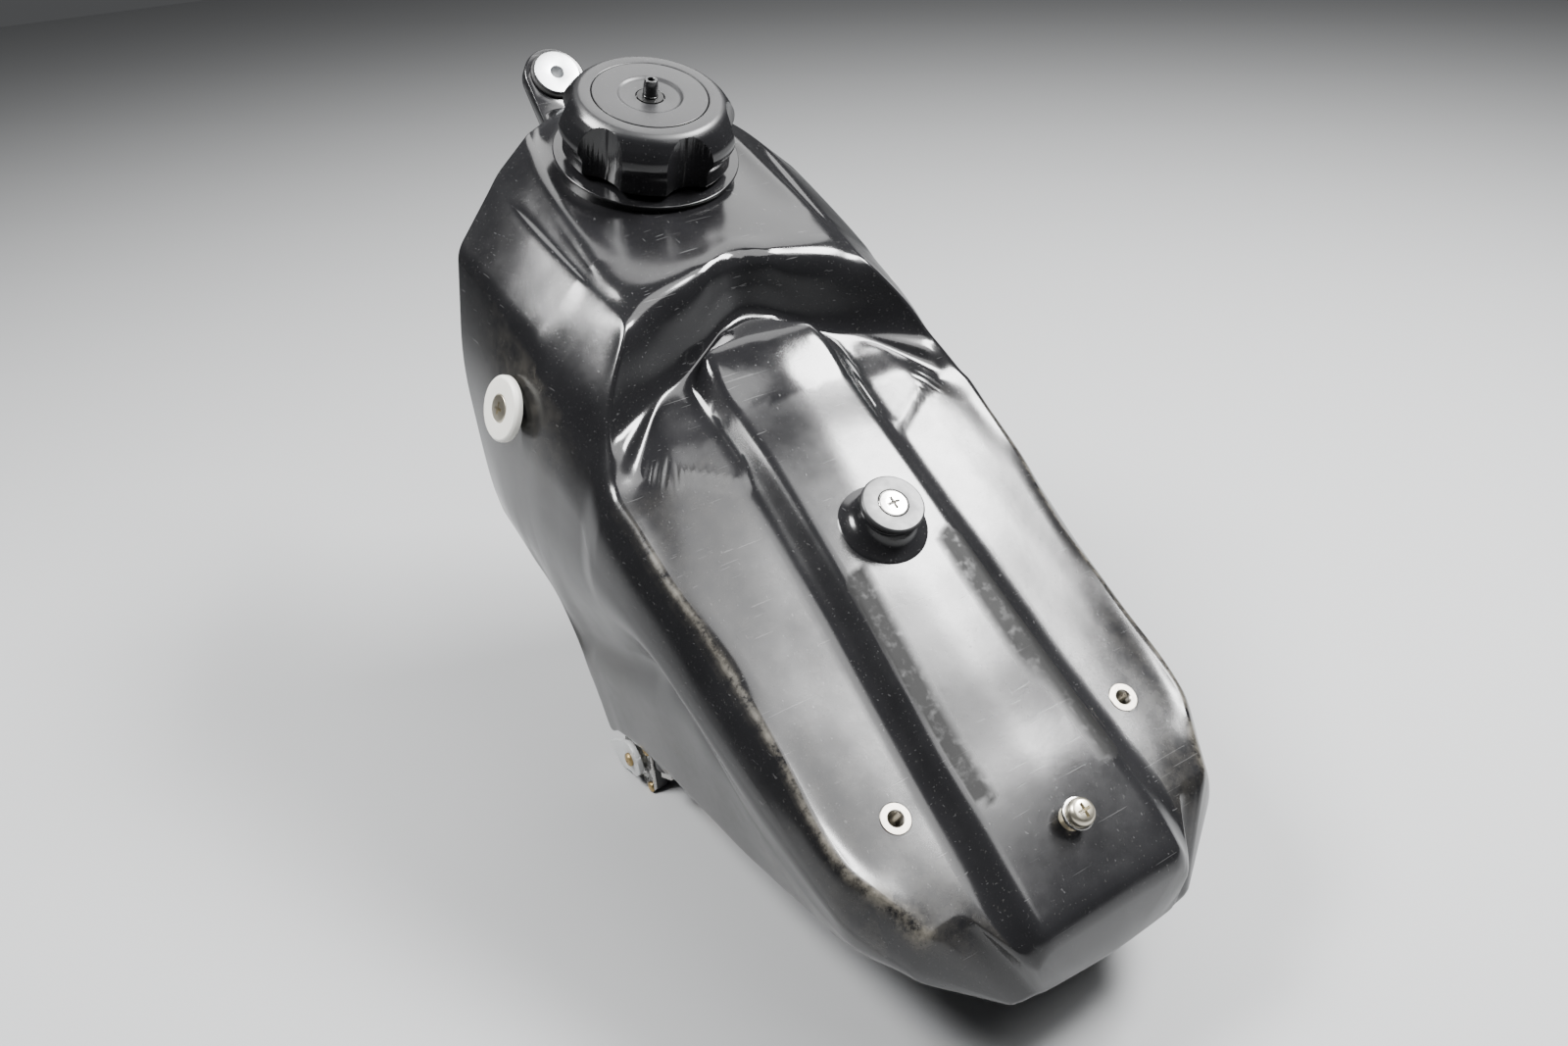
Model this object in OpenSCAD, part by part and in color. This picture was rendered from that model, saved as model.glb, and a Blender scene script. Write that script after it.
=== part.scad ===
// Fuel tank for an off-road motorcycle: a hollow blow-moulded shell, its cap, collars, nuts and fuel cock.
// Millimetres, +X right, +Y forward, +Z up. The origin is the centre of the front mounting collar.
// Inside the file, y counts forward from the tail face and z up from the lowest plane.

/* [Shell] */
// Wall thickness of the moulded shell
wall = 4; // [3:0.5:6]
// Distance from the tail face to the front mounting collar
lug_y = 403; // [395:1:410]
// Height of the front mounting collar
lug_z = 314; // [308:1:320]
// Backward tilt of the front mounting collar, degrees
lug_tilt = 49; // [40:1:55]
// Outer radius of the front lug
lug_r = 15.5; // [14:0.5:18]
// Thickness of the front lug
lug_t = 8; // [6:0.5:10]

/* [Filler] */
// Distance from the tail face to the middle of the neck ring
neck_y = 311.3; // [308:0.1:315]
// Height of the middle of the neck ring
neck_z = 292.5; // [290:0.1:295]
// Backward tilt of the neck, degrees
neck_tilt = 21; // [15:1:25]
// Radius of the ring under the cap
ring_r = 41.8; // [40:0.1:44]
// Outer radius of the threaded neck
neck_r = 27.5; // [26:0.5:28]
// Bore radius of the neck
neck_bore_r = 23; // [20:0.5:24]
// Height of the neck above its ring
neck_h = 18; // [15:0.5:20]
// Largest radius of the cap
cap_r = 39.8; // [38:0.1:42]
// Height of the cap top above the ring
cap_top = 28.4; // [26:0.1:30]
// Number of finger scallops round the cap
scallops = 6; // [5:1:8]
// Radius of each scallop
scallop_r = 15; // [12:0.5:16]

/* [Hardware] */
// Nominal thread of every screw and nut
screw_d = 6; // [6:1:6]
// Distance from the tank's middle to each seat nut
seat_nut_x = 55.3; // [50:0.1:60]
// Distance from the tail face to the seat nuts
seat_nut_y = 55.3; // [50:0.1:60]
// Distance from the tail face to the seat hook boss
hook_y = 136; // [130:1:140]
// Height of the seat hook collar above the spine
hook_h = 14; // [10:0.5:16]
// Distance from the tail face to the tail screw
tail_screw_y = 26; // [20:1:30]
// Distance from the tail face to the shroud collars
shroud_y = 268; // [260:1:275]
// Outer radius of a shroud collar
shroud_r = 14.3; // [12:0.1:16]

/* [Fuel cock] */
// Distance from the tail face to the lever pivot
cock_y = 230; // [228:1:232]
// Height of the lever pivot
cock_z = 34; // [30:1:38]
// Distance from the tank's middle to the cock's outer face
cock_face_x = 78; // [76:1:80]
// Radius of the valve chamber
cock_r = 14; // [12:0.5:16]
// Distance from the tail face to the middle of the cock's mounting flange
cock_flange_y = 205; // [203:1:207]
// Distance between the two mounting screws, across the tank
cock_pitch = 26; // [25:1:28]

/* [Hidden] */
eps = 0.01;
$fn = 64;

// Thread and cross-recess sizes of an M6 screw
tap_r = 2.5;
hole_r = 3.2;
csk_r = 6;
pan_r = 5.25;
recess_w = 1.1;
recess_l = 5.6;

// Each line of the shell runs from the tail to the front: [y, x, z] points of one edge or valley.
crown = [[0, 0, 93], [4, 0, 97.5], [10, 0, 101.8], [20, 0, 108.3], [39, 0, 120], [60, 0, 132.2],
  [80, 0, 145.2], [101, 0, 159.2], [122, 0, 173.5], [146, 0, 188.3], [171, 0, 202.5], [197, 0, 216.5],
  [222, 0, 232.2], [233, 0, 236.4], [236.5, 0, 240], [238, 0, 250], [239.5, 0, 259], [244, 0, 264.5],
  [254, 0, 268], [280, 0, 277], [311, 0, 288.5], [345, 0, 301], [368, 0, 305.5], [382, 0, 303]];
spine_edge = [[0, 33.7, 92], [4, 33.7, 96.5], [10, 33.5, 100.8], [20, 32.9, 107.2], [39, 32.2, 119],
  [60, 31.9, 131], [80, 30.7, 144], [101, 29.3, 158], [122, 28.1, 172.5], [146, 27.6, 187],
  [171, 27.1, 201.3], [197, 27.2, 215.3], [217, 27, 229], [222.6, 26, 231.8], [227, 19, 233],
  [231, 13, 234.6], [233.6, 11, 238], [235, 11, 250], [236.2, 11, 258.5], [240, 12, 263.5],
  [250, 14, 266.5], [280, 20, 276.5], [311, 24, 287.5], [345, 24, 299.5], [365, 18, 304], [380, 10, 302]];
spine_foot = [[0, 38, 84], [6, 40, 90], [14, 42.5, 96], [21, 43.4, 100.5], [35, 42, 108.5],
  [55, 40.5, 119.8], [80, 39, 135], [101, 38, 148.5], [122, 37, 162], [146, 36.5, 176.5],
  [174, 36, 193.5], [200, 36.5, 208], [218.6, 37, 218.3], [224, 35, 222], [227.5, 31, 228],
  [229.8, 29, 242], [231, 28.5, 254], [233, 28.5, 258.8], [239, 30, 262], [250, 32, 265.5],
  [280, 37, 274.5], [311, 40, 285], [340, 37, 296], [361, 33, 301]];
inner_rim = [[21, 52, 100.6], [35, 53, 109], [55, 54, 120.2], [101, 56, 148], [146, 57, 176],
  [180, 57, 196], [200, 57, 208], [212, 56, 215], [220, 52, 219.5], [224, 48, 226], [227, 45.5, 243],
  [228.3, 45, 252], [231, 46, 256.5], [238, 49, 260], [247, 52, 262.8], [262, 53.5, 267.5],
  [281, 52.5, 275.5], [304, 50.5, 284.5], [325, 48, 292.5], [341, 44, 298], [352, 39, 302]];
groove = [[21, 62, 100], [35, 64, 108.8], [55, 68, 119.8], [101, 69, 147.8], [146, 72, 175],
  [180, 74, 194.5], [198, 75, 204], [203, 75, 212], [209, 72.5, 215.5], [214, 69, 221], [218, 66, 229],
  [221.5, 61.5, 240], [225, 57.5, 248.5], [229, 56, 252.5], [236, 56, 255], [247, 57, 258],
  [262, 58, 262.5], [281, 59, 268.5], [304, 61, 276.5], [322, 63, 283.5], [341, 61, 290]];
shoulder_top = [[21, 66, 99.8], [35, 71, 109.2], [55, 77, 119], [101, 77, 147.5], [146, 80, 174.5],
  [180, 82, 193.5], [195, 81.5, 202.5], [202, 79, 211], [207, 77.5, 215], [212, 75, 222],
  [216, 71.5, 231], [220, 66, 241], [225, 60, 250], [230, 58.5, 252.5], [240, 59.5, 255.5],
  [255, 61, 260], [275, 63, 266.5], [300, 65.5, 275], [320, 67, 281], [337, 68, 284]];
crease = [[22, 68.5, 98.5], [35, 74, 108.8], [50, 81.5, 117.5], [66, 83.2, 126], [83, 82, 136.3],
  [100, 81.7, 146.5], [119, 81.9, 156.5], [137, 83.4, 168], [155, 86.2, 179], [174, 86.6, 190.5],
  [190, 88, 199.5], [197, 87, 203.5], [203, 83, 211.5], [210, 79.3, 219.5], [218, 80.5, 225],
  [230, 82.4, 229.8], [252, 84.5, 237.8], [275, 86.2, 246.4], [300, 87.7, 254.8], [329, 89.4, 264]];
flank = [[22, 71, 93], [35, 77.5, 102], [50, 85, 111], [66, 87, 119.5], [83, 87, 129], [100, 88, 138],
  [119, 89.5, 148], [137, 91, 158], [155, 93.5, 167], [174, 95.5, 176], [197, 97, 187], [210, 93, 200],
  [230, 93.5, 207], [252, 96, 211], [268, 97, 211], [290, 98.5, 213], [322, 99.5, 216]];
widest = [[22, 73, 85], [50, 88, 101], [83, 92, 118], [119, 95, 134], [143, 97, 144], [170, 99.5, 153],
  [200, 101, 156], [250, 101.5, 152], [290, 101.5, 152], [314, 100, 160]];
tuck = [[22, 71, 79], [50, 85, 89], [100, 89.5, 108], [135, 90.5, 130], [155, 88, 136], [175, 86, 127],
  [201, 86, 115], [220, 86, 107], [241, 86, 99], [258, 87, 92], [266, 90, 104], [274, 93, 118],
  [284, 96, 128], [314, 97, 140]];
bulge = [[24, 68, 75], [50, 83, 82], [90, 88, 96], [118, 90, 113], [135, 91, 121], [151, 91, 124],
  [175, 90.5, 114], [201, 90, 104], [220, 90, 97], [241, 89.5, 88], [255, 89, 80], [262, 89, 88],
  [270, 91, 108], [280, 94, 122], [314, 96, 138]];
bottom_outer = [[27, 63, 76], [36, 70, 71], [50, 76, 70], [61, 80, 70.5], [100, 82, 65],
  [118, 83, 63], [150, 84, 61],
  [185, 84.5, 58.5], [205, 84.5, 55.5], [222, 84.5, 50], [232, 84.5, 46.5], [240, 84, 42.5],
  [250, 83.5, 36], [256, 83.5, 50], [263, 86, 95], [275, 90, 114], [287, 92, 124], [314, 93, 136]];
// Flat underside that carries the cock, behind a thin lip, and the same floor seen from inside.
lip_inner = [[24, 55, 74.5], [36, 61, 70.5], [50, 68, 70], [61, 71, 70.5], [100, 74, 65],
  [118, 76, 63], [150, 79, 61],
  [182, 81.5, 59], [190, 81.5, 54], [194, 81.5, 50], [248, 81, 50], [252, 80.5, 50.5], [256, 80, 56],
  [263, 80, 95], [275, 82, 114], [287, 84, 124], [314, 85, 136]];
bottom_inner = [[4, 43.5, 64.5], [16, 43, 66.5], [50, 40, 70], [61, 39, 70.5], [100, 38, 65], [150, 37, 61],
  [182, 37, 59], [190, 37, 54], [194, 37, 50], [248, 37, 50], [252, 37, 50.5], [256, 38, 56],
  [263, 40, 95], [275, 43, 110], [287, 47, 120], [314, 54, 134]];
lip_floor = [[27, 63, 76], [36, 70, 71], [50, 76, 70], [61, 80, 70.5], [100, 82, 65], [118, 83, 63],
  [150, 84, 61],
  [182, 84.5, 59], [190, 84.5, 54], [194, 84.5, 50], [248, 83.5, 50], [252, 83.5, 50.5], [256, 83.5, 56],
  [263, 86, 95], [275, 90, 114], [287, 92, 124], [314, 93, 136]];
tunnel_side = [[2, 39, 64], [16, 34, 66.5], [45, 27, 76], [100, 27, 91], [150, 27.5, 105],
  [200, 28, 119], [250, 30, 135], [290, 34, 155], [314, 40, 178]];
tunnel_roof = [[0, 0, 63.5], [16, 0, 66], [45, 0, 80], [100, 0, 97], [150, 0, 111], [200, 0, 126],
  [250, 0, 143], [290, 0, 165], [330, 0, 202], [352, 0, 240]];

// The lines in order round half a section, and the rounding of each edge.
lines = [crown, spine_edge, spine_foot, inner_rim, groove, shoulder_top, crease, flank, widest, tuck,
  bulge, bottom_outer, lip_inner, bottom_inner, tunnel_side, tunnel_roof];
rounding = [0, 4, 4, 5, 0, 4, 6, 0, 0, 0, 0, 6, 0, 0, 0, 0];
// The lip's own line, and the first line that faces the tunnel.
lip_line = 11;
lip_gap = 7;
widest_line = 8;
first_tunnel_line = 13;

// Foot and top of the cliff behind the filler hump on each line; the lines below have no cliff.
low_foot = 200;
low_top = 235;
cliff = [[233, 239.5], [231, 236.2], [224, 231], [219, 228.3], [199, 229], [198, 229], [197, 218]];

// Stations along the shell, the same for every line, close together where the cliff is.
tail_sweep = 40;
front_sweep = 260;
front_end = 350;
tail_extra = 1.2;
front_extra = 349.3;
stations = [0, tail_extra, 3, 6, 10, 16, 22, 30, 40, 52, 66, 80, 95, 110, 125, 140, 155, 168, 180,
  187, 192, 196, 200, 203, 206, 209, 212, 215, 218, 221, 224, 227, 230, 233, 235, 237, 240, 244, 248,
  252, 256, 260, 263, 267, 271, 277, 284, 292, 300, 310, 322, 334, 343, 348, front_extra, front_end];
end_round = 4;

// Smooth curve through a line's points, without overshoot.
function step_at(p, y, i = 0) = i >= len(p) - 2 || y < p[i + 1][0] ? i : step_at(p, y, i + 1);
function slope(p, i, c) = (p[i + 1][c] - p[i][c]) / (p[i + 1][0] - p[i][0]);
function tangent(p, i, c) =
  i == 0 ? slope(p, 0, c)
  : i == len(p) - 1 ? slope(p, i - 1, c)
  : let (a = slope(p, i - 1, c), b = slope(p, i, c)) a * b <= 0 ? 0 : 2 * a * b / (a + b);
function curve(p, y, c) =
  y <= p[0][0] ? p[0][c]
  : y >= p[len(p) - 1][0] ? p[len(p) - 1][c]
  : let (
      i = step_at(p, y),
      h = p[i + 1][0] - p[i][0],
      t = (y - p[i][0]) / h,
      m0 = tangent(p, i, c) * h,
      m1 = tangent(p, i + 1, c) * h
    )
    (2 * t ^ 3 - 3 * t ^ 2 + 1) * p[i][c] + (t ^ 3 - 2 * t ^ 2 + t) * m0
    + (3 * t ^ 2 - 2 * t ^ 3) * p[i + 1][c] + (t ^ 3 - t ^ 2) * m1;

// A station's own y on one line: each line starts, climbs the cliff and ends where its edge does.
function between(s, s0, s1, y0, y1) = y0 + (s - s0) * (y1 - y0) / (s1 - s0);
function line_y(i, s, inset) =
  let (
    p = lines[i],
    foot = i < len(cliff) ? cliff[i][0] : low_foot,
    top = i < len(cliff) ? cliff[i][1] : low_top
  )
  s < tail_sweep ? between(s, 0, tail_sweep, p[0][0] + inset, tail_sweep)
  : s < low_foot ? between(s, tail_sweep, low_foot, tail_sweep, foot)
  : s < low_top ? between(s, low_foot, low_top, foot, top)
  : s < front_sweep ? between(s, low_top, front_sweep, top, front_sweep)
  : between(s, front_sweep, front_end, front_sweep, p[len(p) - 1][0] - inset);
function vertex(i, s) =
  let (p = lines[i], y = line_y(i, s, 0)) [curve(p, y, 1), y, curve(p, y, 2)];

// The same vertex for the cavity, eroded along y so that steep faces keep their wall.
function eroded(i, s) =
  let (p = i == lip_line ? lip_floor : lines[i], y = line_y(i, s, wall))
  let (
    aside = i == lip_line + 1 ? lip_gap : 0,
    xs = [for (d = [-wall, 0, wall]) curve(p, y + d, 1) - aside],
    zs = [for (d = [-wall, 0, wall]) curve(p, y + d, 2)]
  )
  [i < first_tunnel_line ? min(xs) : max(xs), y, i <= widest_line ? min(zs) : max(zs)];

// Rounds one vertex of a half section into three points of a quadratic curve.
function toward(a, b, r) = a + (b - a) * min(0.45, r / max(norm(b - a), eps));
function rounded(v, i, r) =
  r == 0 ? [v[i]]
  : let (a = toward(v[i], v[i - 1], r), b = toward(v[i], v[i + 1], r)) [a, (a + b) / 4 + v[i] / 2, b];
function half_outer(s) =
  let (v = [for (i = [0:len(lines) - 1]) vertex(i, s)])
  [for (i = [0:len(lines) - 1]) each rounded(v, i, rounding[i])];

// Moves the section's vertices inward by the wall, square to its edges.
function normal_2d(a, b) = let (d = [b[0] - a[0], b[2] - a[2]]) [d[1], -d[0]] / max(norm(d), eps);
function moved_in(v, i) =
  let (
    last = len(v) - 1,
    before = i == 0 ? [0, -1] : normal_2d(v[i - 1], v[i]),
    after = i == last ? [0, 1] : normal_2d(v[i], v[i + 1]),
    sum = i == 0 ? [0, -1] : i == last ? [0, 1] : before + after,
    n = sum / max(norm(sum), eps),
    k = wall / max(0.7, i == 0 || i == last ? 1 : n * after)
  )
  [v[i][0] + n[0] * k, v[i][1], v[i][2] + n[1] * k];
function half_inner(s) =
  let (v = [for (i = [0:len(lines) - 1]) eroded(i, s)])
  [for (i = [0:len(lines) - 1]) moved_in(v, i)];

// Rounds the end faces by pulling the skin toward the tunnel side there, over the last few millimetres.
inner_chain = len(lines) - first_tunnel_line + 1;
function chain_of(n) = n - 1 - inner_chain;
function partner(j, n) =
  let (m = chain_of(n))
  j <= m ? n - 1 - round(j * inner_chain / m) : round((n - 1 - j) * m / inner_chain);
function end_pull(s) =
  let (d = min(s, front_end - s))
  d >= end_round ? 0 : end_round - sqrt(end_round ^ 2 - (end_round - d) ^ 2);
function pulled(h, s) =
  let (r = end_pull(s), n = len(h))
  r == 0 ? h
  : [for (j = [0:n - 1])
      let (gap = h[partner(j, n)] - h[j])
      h[j] + gap * r / max(norm(gap), 3 * r)];

function mirrored(p) = [-p[0], p[1], p[2]];
function ring(h) = concat(h, [for (j = [len(h) - 2:-1:1]) mirrored(h[j])]);
function side_index(j, side, n) = side > 0 || j == 0 || j == n - 1 ? j : 2 * n - 2 - j;

// Closes an end of the skin by a strip of triangles between its outer and tunnel edges.
function cap_faces(base, n, flip) =
  let (m = chain_of(n))
  [for (side = [1, -1]) for (j = [0:m - 1])
    let (
      a = base + side_index(j, side, n),
      b = base + side_index(j + 1, side, n),
      c = base + side_index(partner(j, n), side, n),
      d = base + side_index(partner(j + 1, n), side, n),
      turn = flip ? side < 0 : side > 0
    )
    each concat([turn ? [a, b, c] : [a, c, b]], c == d ? [] : [turn ? [b, d, c] : [b, c, d]])];
function wall_faces(rows, count) =
  [for (k = [0:rows - 2]) for (j = [0:count - 1])
    let (a = k * count + j, b = k * count + (j + 1) % count, c = a + count, d = b + count)
    each [[a, c, b], [b, c, d]]];

module skin(halves) {
  n = len(halves[0]);
  count = 2 * n - 2;
  rows = len(halves);
  polyhedron(
    points = [for (h = halves) each ring(h)],
    faces = concat(
      wall_faces(rows, count), cap_faces(0, n, false), cap_faces((rows - 1) * count, n, true)
    ),
    convexity = 10
  );
}

// Puts children at a place in the tank's own frame: the origin is the front collar.
module in_frame() translate([0, -lug_y, -lug_z]) children();
module at_lug() in_frame() translate([0, lug_y, lug_z]) rotate([lug_tilt, 0, 0])
  translate([0, 0, -lug_depth]) children();
module at_neck() in_frame() translate([0, neck_y, neck_z]) rotate([neck_tilt, 0, 0]) children();

// Depth of the lug's middle plane below the collar's top face.
lug_depth = 7.6;

// Thickness of the seat hook collar, and the surface frames of the hardware.
hook_t = 6.2;
seat_tilt = 30;
tail_tilt = 34;
hook_z = 182.2;
seat_nut_z = 120.6;
tail_screw_z = 112;
shroud_z = 211;
shroud_x = 97.2;
shroud_rise = 22;
shroud_back = 6;
module at_hook() in_frame() translate([0, hook_y, hook_z]) rotate([seat_tilt, 0, 0]) children();
module at_tail_screw() in_frame()
  translate([0, tail_screw_y, tail_screw_z]) rotate([tail_tilt, 0, 0]) children();
module at_seat_nuts()
  in_frame() for (side = [-1, 1])
    translate([side * seat_nut_x, seat_nut_y, seat_nut_z]) rotate([seat_tilt, 0, 0]) children();
// +Z of this frame points out of the side wall, and its mirror image serves the right side.
module at_shrouds()
  in_frame() for (side = [0, 1])
    mirror([side, 0, 0]) translate([-shroud_x, shroud_y, shroud_z])
      rotate([0, 0, shroud_back]) rotate([0, shroud_rise - 90, 0]) children();
// +Z of this frame points out of the cock's face, to the left.
module at_cock() in_frame() translate([-cock_face_x, cock_y, cock_z]) rotate([0, -90, 0]) children();

module ring_solid(r_out, r_in, h) difference() {
  cylinder(r = r_out, h = h);
  translate([0, 0, -eps]) cylinder(r = r_in, h = h + 2 * eps);
}

module cross_recess(depth) translate([0, 0, -depth]) {
  for (turn = [0, 90]) rotate([0, 0, turn])
    translate([-recess_l / 2, -recess_w / 2, 0]) cube([recess_l, recess_w, depth + eps]);
  cylinder(r = recess_w, h = depth + eps);
}

// Threaded insert with a flange: its top face is at z = 0 and it reaches down into its boss.
nut_flange_r = 5.9;
nut_flange_t = 1.2;
nut_body_r = 4.6;
nut_depth = 14;
module flanged_nut() rotate_extrude() polygon([[tap_r, -nut_depth], [nut_body_r, -nut_depth],
  [nut_body_r, -nut_flange_t], [nut_flange_r, -nut_flange_t], [nut_flange_r, -0.3],
  [nut_flange_r - 0.3, 0], [tap_r + 0.8, 0], [tap_r, -0.8]]);
module plain_nut() ring_solid(nut_body_r, tap_r, nut_depth);
// Room for an insert in the shell, with the boss that carries it.
boss_r = 8;
boss_depth = 18;
module nut_pocket(flanged) {
  translate([0, 0, -nut_depth]) cylinder(r = nut_body_r, h = nut_depth + 1);
  if (flanged) translate([0, 0, -nut_flange_t]) cylinder(r = nut_flange_r, h = nut_flange_t + 8);
}
module nut_boss(r = boss_r) translate([0, 0, -boss_depth]) cylinder(r = r, h = boss_depth - 1.5);

// ---- Shell ----
pad_t = 8;
cock_flange_t = 6;
cock_flange_r = 7;
cock_flange_x = 61;
seal_seat_r = 10;
pad_z = 50;
plate_bolt_r = 16.2;
pipe_r = 4.5;
shell_pipe_r = 7;
module body_outline() in_frame() skin([for (s = stations) pulled(half_outer(s), s)]);
// The cavity leaves out the stations that only shape the rounded ends.
module cavity() in_frame() skin([for (s = stations) if (s != tail_extra && s != front_extra) half_inner(s)]);
module stadium(r, h) {
  for (end = [-1, 1]) translate([end * cock_pitch / 2, 0, 0]) cylinder(r = r, h = h);
  translate([-cock_pitch / 2, -r, 0]) cube([cock_pitch, 2 * r, h]);
}
module at_cock_flange(z) in_frame() translate([-cock_flange_x, cock_flange_y, z]) children();
module at_cock_screws(z) for (end = [-1, 1])
  at_cock_flange(z) translate([end * cock_pitch / 2, 0, 0]) children();
module cock_pad() at_cock_flange(pad_z + 1) {
  stadium(cock_flange_r, pad_t - 1);
  cylinder(r = seal_seat_r, h = pad_t - 1);
}
lug_len = 30;
lug_root = [[366, 300], [383, 301.5], [391, 299], [398, 296], [401, 291], [389, 277], [372, 258],
  [358, 262]];
module lug_arm() {
  at_lug() translate([0, 0, -lug_t / 2]) {
    cylinder(r = lug_r, h = lug_t);
    translate([-lug_r, -lug_len, 0]) cube([2 * lug_r, lug_len, lug_t]);
  }
  in_frame() translate([-lug_r + 2, 0, 0]) rotate([90, 0, 90])
    linear_extrude(2 * lug_r - 4) polygon(lug_root);
}
module hook_pedestal() at_hook() rotate_extrude() polygon([[0, -6], [19.2, -6], [19.2, -0.5],
  [16.2, 0.6], [13.6, 2], [11.8, 4], [10.6, 6.5], [10.4, hook_h - hook_t], [0, hook_h - hook_t]]);
module neck_solid() at_neck() {
  translate([0, 0, -12]) cylinder(r = ring_r - 1.2, h = 11.2);
  translate([0, 0, -1.2]) cylinder(r = ring_r, h = 1.2);
  cylinder(r = neck_r, h = neck_h);
}
module neck_bore() at_neck() translate([0, 0, -40]) cylinder(r = neck_bore_r, h = 40 + neck_h + 1);

// The front grommet, and the flat under each side collar.
grommet_r = 12.6;
grommet_t = lug_t + 4;
spot_face_r = 9.8;
module tank_shell() color([0.07, 0.07, 0.075]) difference() {
  union() {
    difference() {
      union() {
        body_outline();
        hook_pedestal();
        neck_solid();
      }
      cavity();
      neck_bore();
    }
    lug_arm();
    at_seat_nuts() nut_boss();
    at_hook() translate([0, 0, hook_h - hook_t - boss_depth]) cylinder(r = boss_r, h = boss_depth - 1);
    at_tail_screw() nut_boss();
    at_shrouds() nut_boss();
    cock_pad();
  }
  at_seat_nuts() nut_pocket(true);
  at_hook() translate([0, 0, hook_h - hook_t]) nut_pocket(false);
  at_tail_screw() nut_pocket(false);
  at_shrouds() nut_pocket(false);
  at_lug() translate([0, 0, -lug_t]) cylinder(r = grommet_r - 2.6, h = 2 * lug_t);
  at_shrouds() cylinder(r = spot_face_r, h = 6);
  at_cock_screws(pad_z - 1) cylinder(r = nut_body_r, h = pad_t - 1);
  at_cock_flange(pad_z - 1) cylinder(r = shell_pipe_r, h = pad_t + 10);
}

// ---- Front mounting ----
collar_bore_r = 3.25;
collar_r = 5;
collar_flange_r = 11.2;
collar_flange_t = 1.6;
module lug_grommet() color([0.05, 0.05, 0.05]) at_lug() difference() {
  union() {
    translate([0, 0, -lug_t / 2]) cylinder(r = grommet_r - 2.6, h = lug_t);
    for (side = [-1, 1]) translate([0, 0, side * (lug_t / 2 + 1) - 1]) cylinder(r = grommet_r, h = 2);
  }
  translate([0, 0, -grommet_t]) cylinder(r = collar_r, h = 2 * grommet_t);
}
module lug_collar() color([0.75, 0.76, 0.78]) at_lug() difference() {
  union() {
    translate([0, 0, -grommet_t / 2]) cylinder(r = collar_r, h = grommet_t);
    translate([0, 0, grommet_t / 2]) cylinder(r = collar_flange_r, h = collar_flange_t);
  }
  translate([0, 0, -grommet_t]) cylinder(r = collar_bore_r, h = 2 * grommet_t);
}

// ---- Side collars for the shrouds ----
shroud_t = 6;
module screw_csk(len) difference() {
  rotate_extrude() polygon([[0, -len], [tap_r - 0.3, -len], [tap_r, -len + 0.3], [tap_r, -3.8],
    [csk_r, -0.4], [csk_r, 0], [0, 0.5]]);
  translate([0, 0, 0.6]) cross_recess(3);
}
module csk_hole(depth) rotate_extrude() polygon([[0, -depth], [hole_r, -depth], [hole_r, -3.45],
  [csk_r + 0.1, -0.35], [csk_r + 0.1, 1], [0, 1]]);
module shroud_nuts() color([0.72, 0.68, 0.55]) at_shrouds() translate([0, 0, -nut_depth]) plain_nut();
module shroud_collars() color([0.93, 0.93, 0.9]) at_shrouds() difference() {
  rotate_extrude() polygon([[0, 0], [9.5, 0], [9.5, 2.4], [shroud_r, 2.4], [shroud_r, 4.8],
    [shroud_r - 1.2, shroud_t], [0, shroud_t]]);
  translate([0, 0, shroud_t]) csk_hole(shroud_t + 1);
}
module shroud_screws() color([0.7, 0.68, 0.6]) at_shrouds() translate([0, 0, shroud_t]) screw_csk(16);

// ---- Seat hook ----
module hook_nut() color([0.72, 0.68, 0.55]) at_hook()
  translate([0, 0, hook_h - hook_t - nut_depth]) plain_nut();
module hook_collar() color([0.25, 0.25, 0.26]) at_hook() difference() {
  translate([0, 0, hook_h - hook_t]) rotate_extrude() polygon([[0, 0], [9, 0], [9, 3], [12.4, 3.2],
    [12.85, 3.7], [12.85, 5.6], [12.3, hook_t], [0, hook_t]]);
  translate([0, 0, hook_h]) csk_hole(hook_t + 1);
}
module hook_screw() color([0.85, 0.85, 0.86]) at_hook() translate([0, 0, hook_h]) screw_csk(15);

// ---- Seat nuts and tail screw ----
module seat_nuts() color([0.82, 0.82, 0.8]) at_seat_nuts() flanged_nut();
washer_t = 1.6;
screw_stand = 5;
module tail_nut() color([0.72, 0.68, 0.55]) at_tail_screw() translate([0, 0, -nut_depth]) plain_nut();
module tail_washer() color([0.85, 0.85, 0.84]) at_tail_screw() translate([0, 0, screw_stand])
  ring_solid(6, tap_r, washer_t);
module tail_screw() color([0.62, 0.57, 0.44]) at_tail_screw() difference() {
  rotate_extrude() polygon([[0, -9], [tap_r, -9], [tap_r, screw_stand + washer_t],
    [pan_r, screw_stand + washer_t], [pan_r, screw_stand + washer_t + 3],
    [pan_r - 1.2, screw_stand + washer_t + 4.1],
    [0, screw_stand + washer_t + 4.5]]);
  translate([0, 0, screw_stand + washer_t + 4.6]) cross_recess(3);
}

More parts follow.
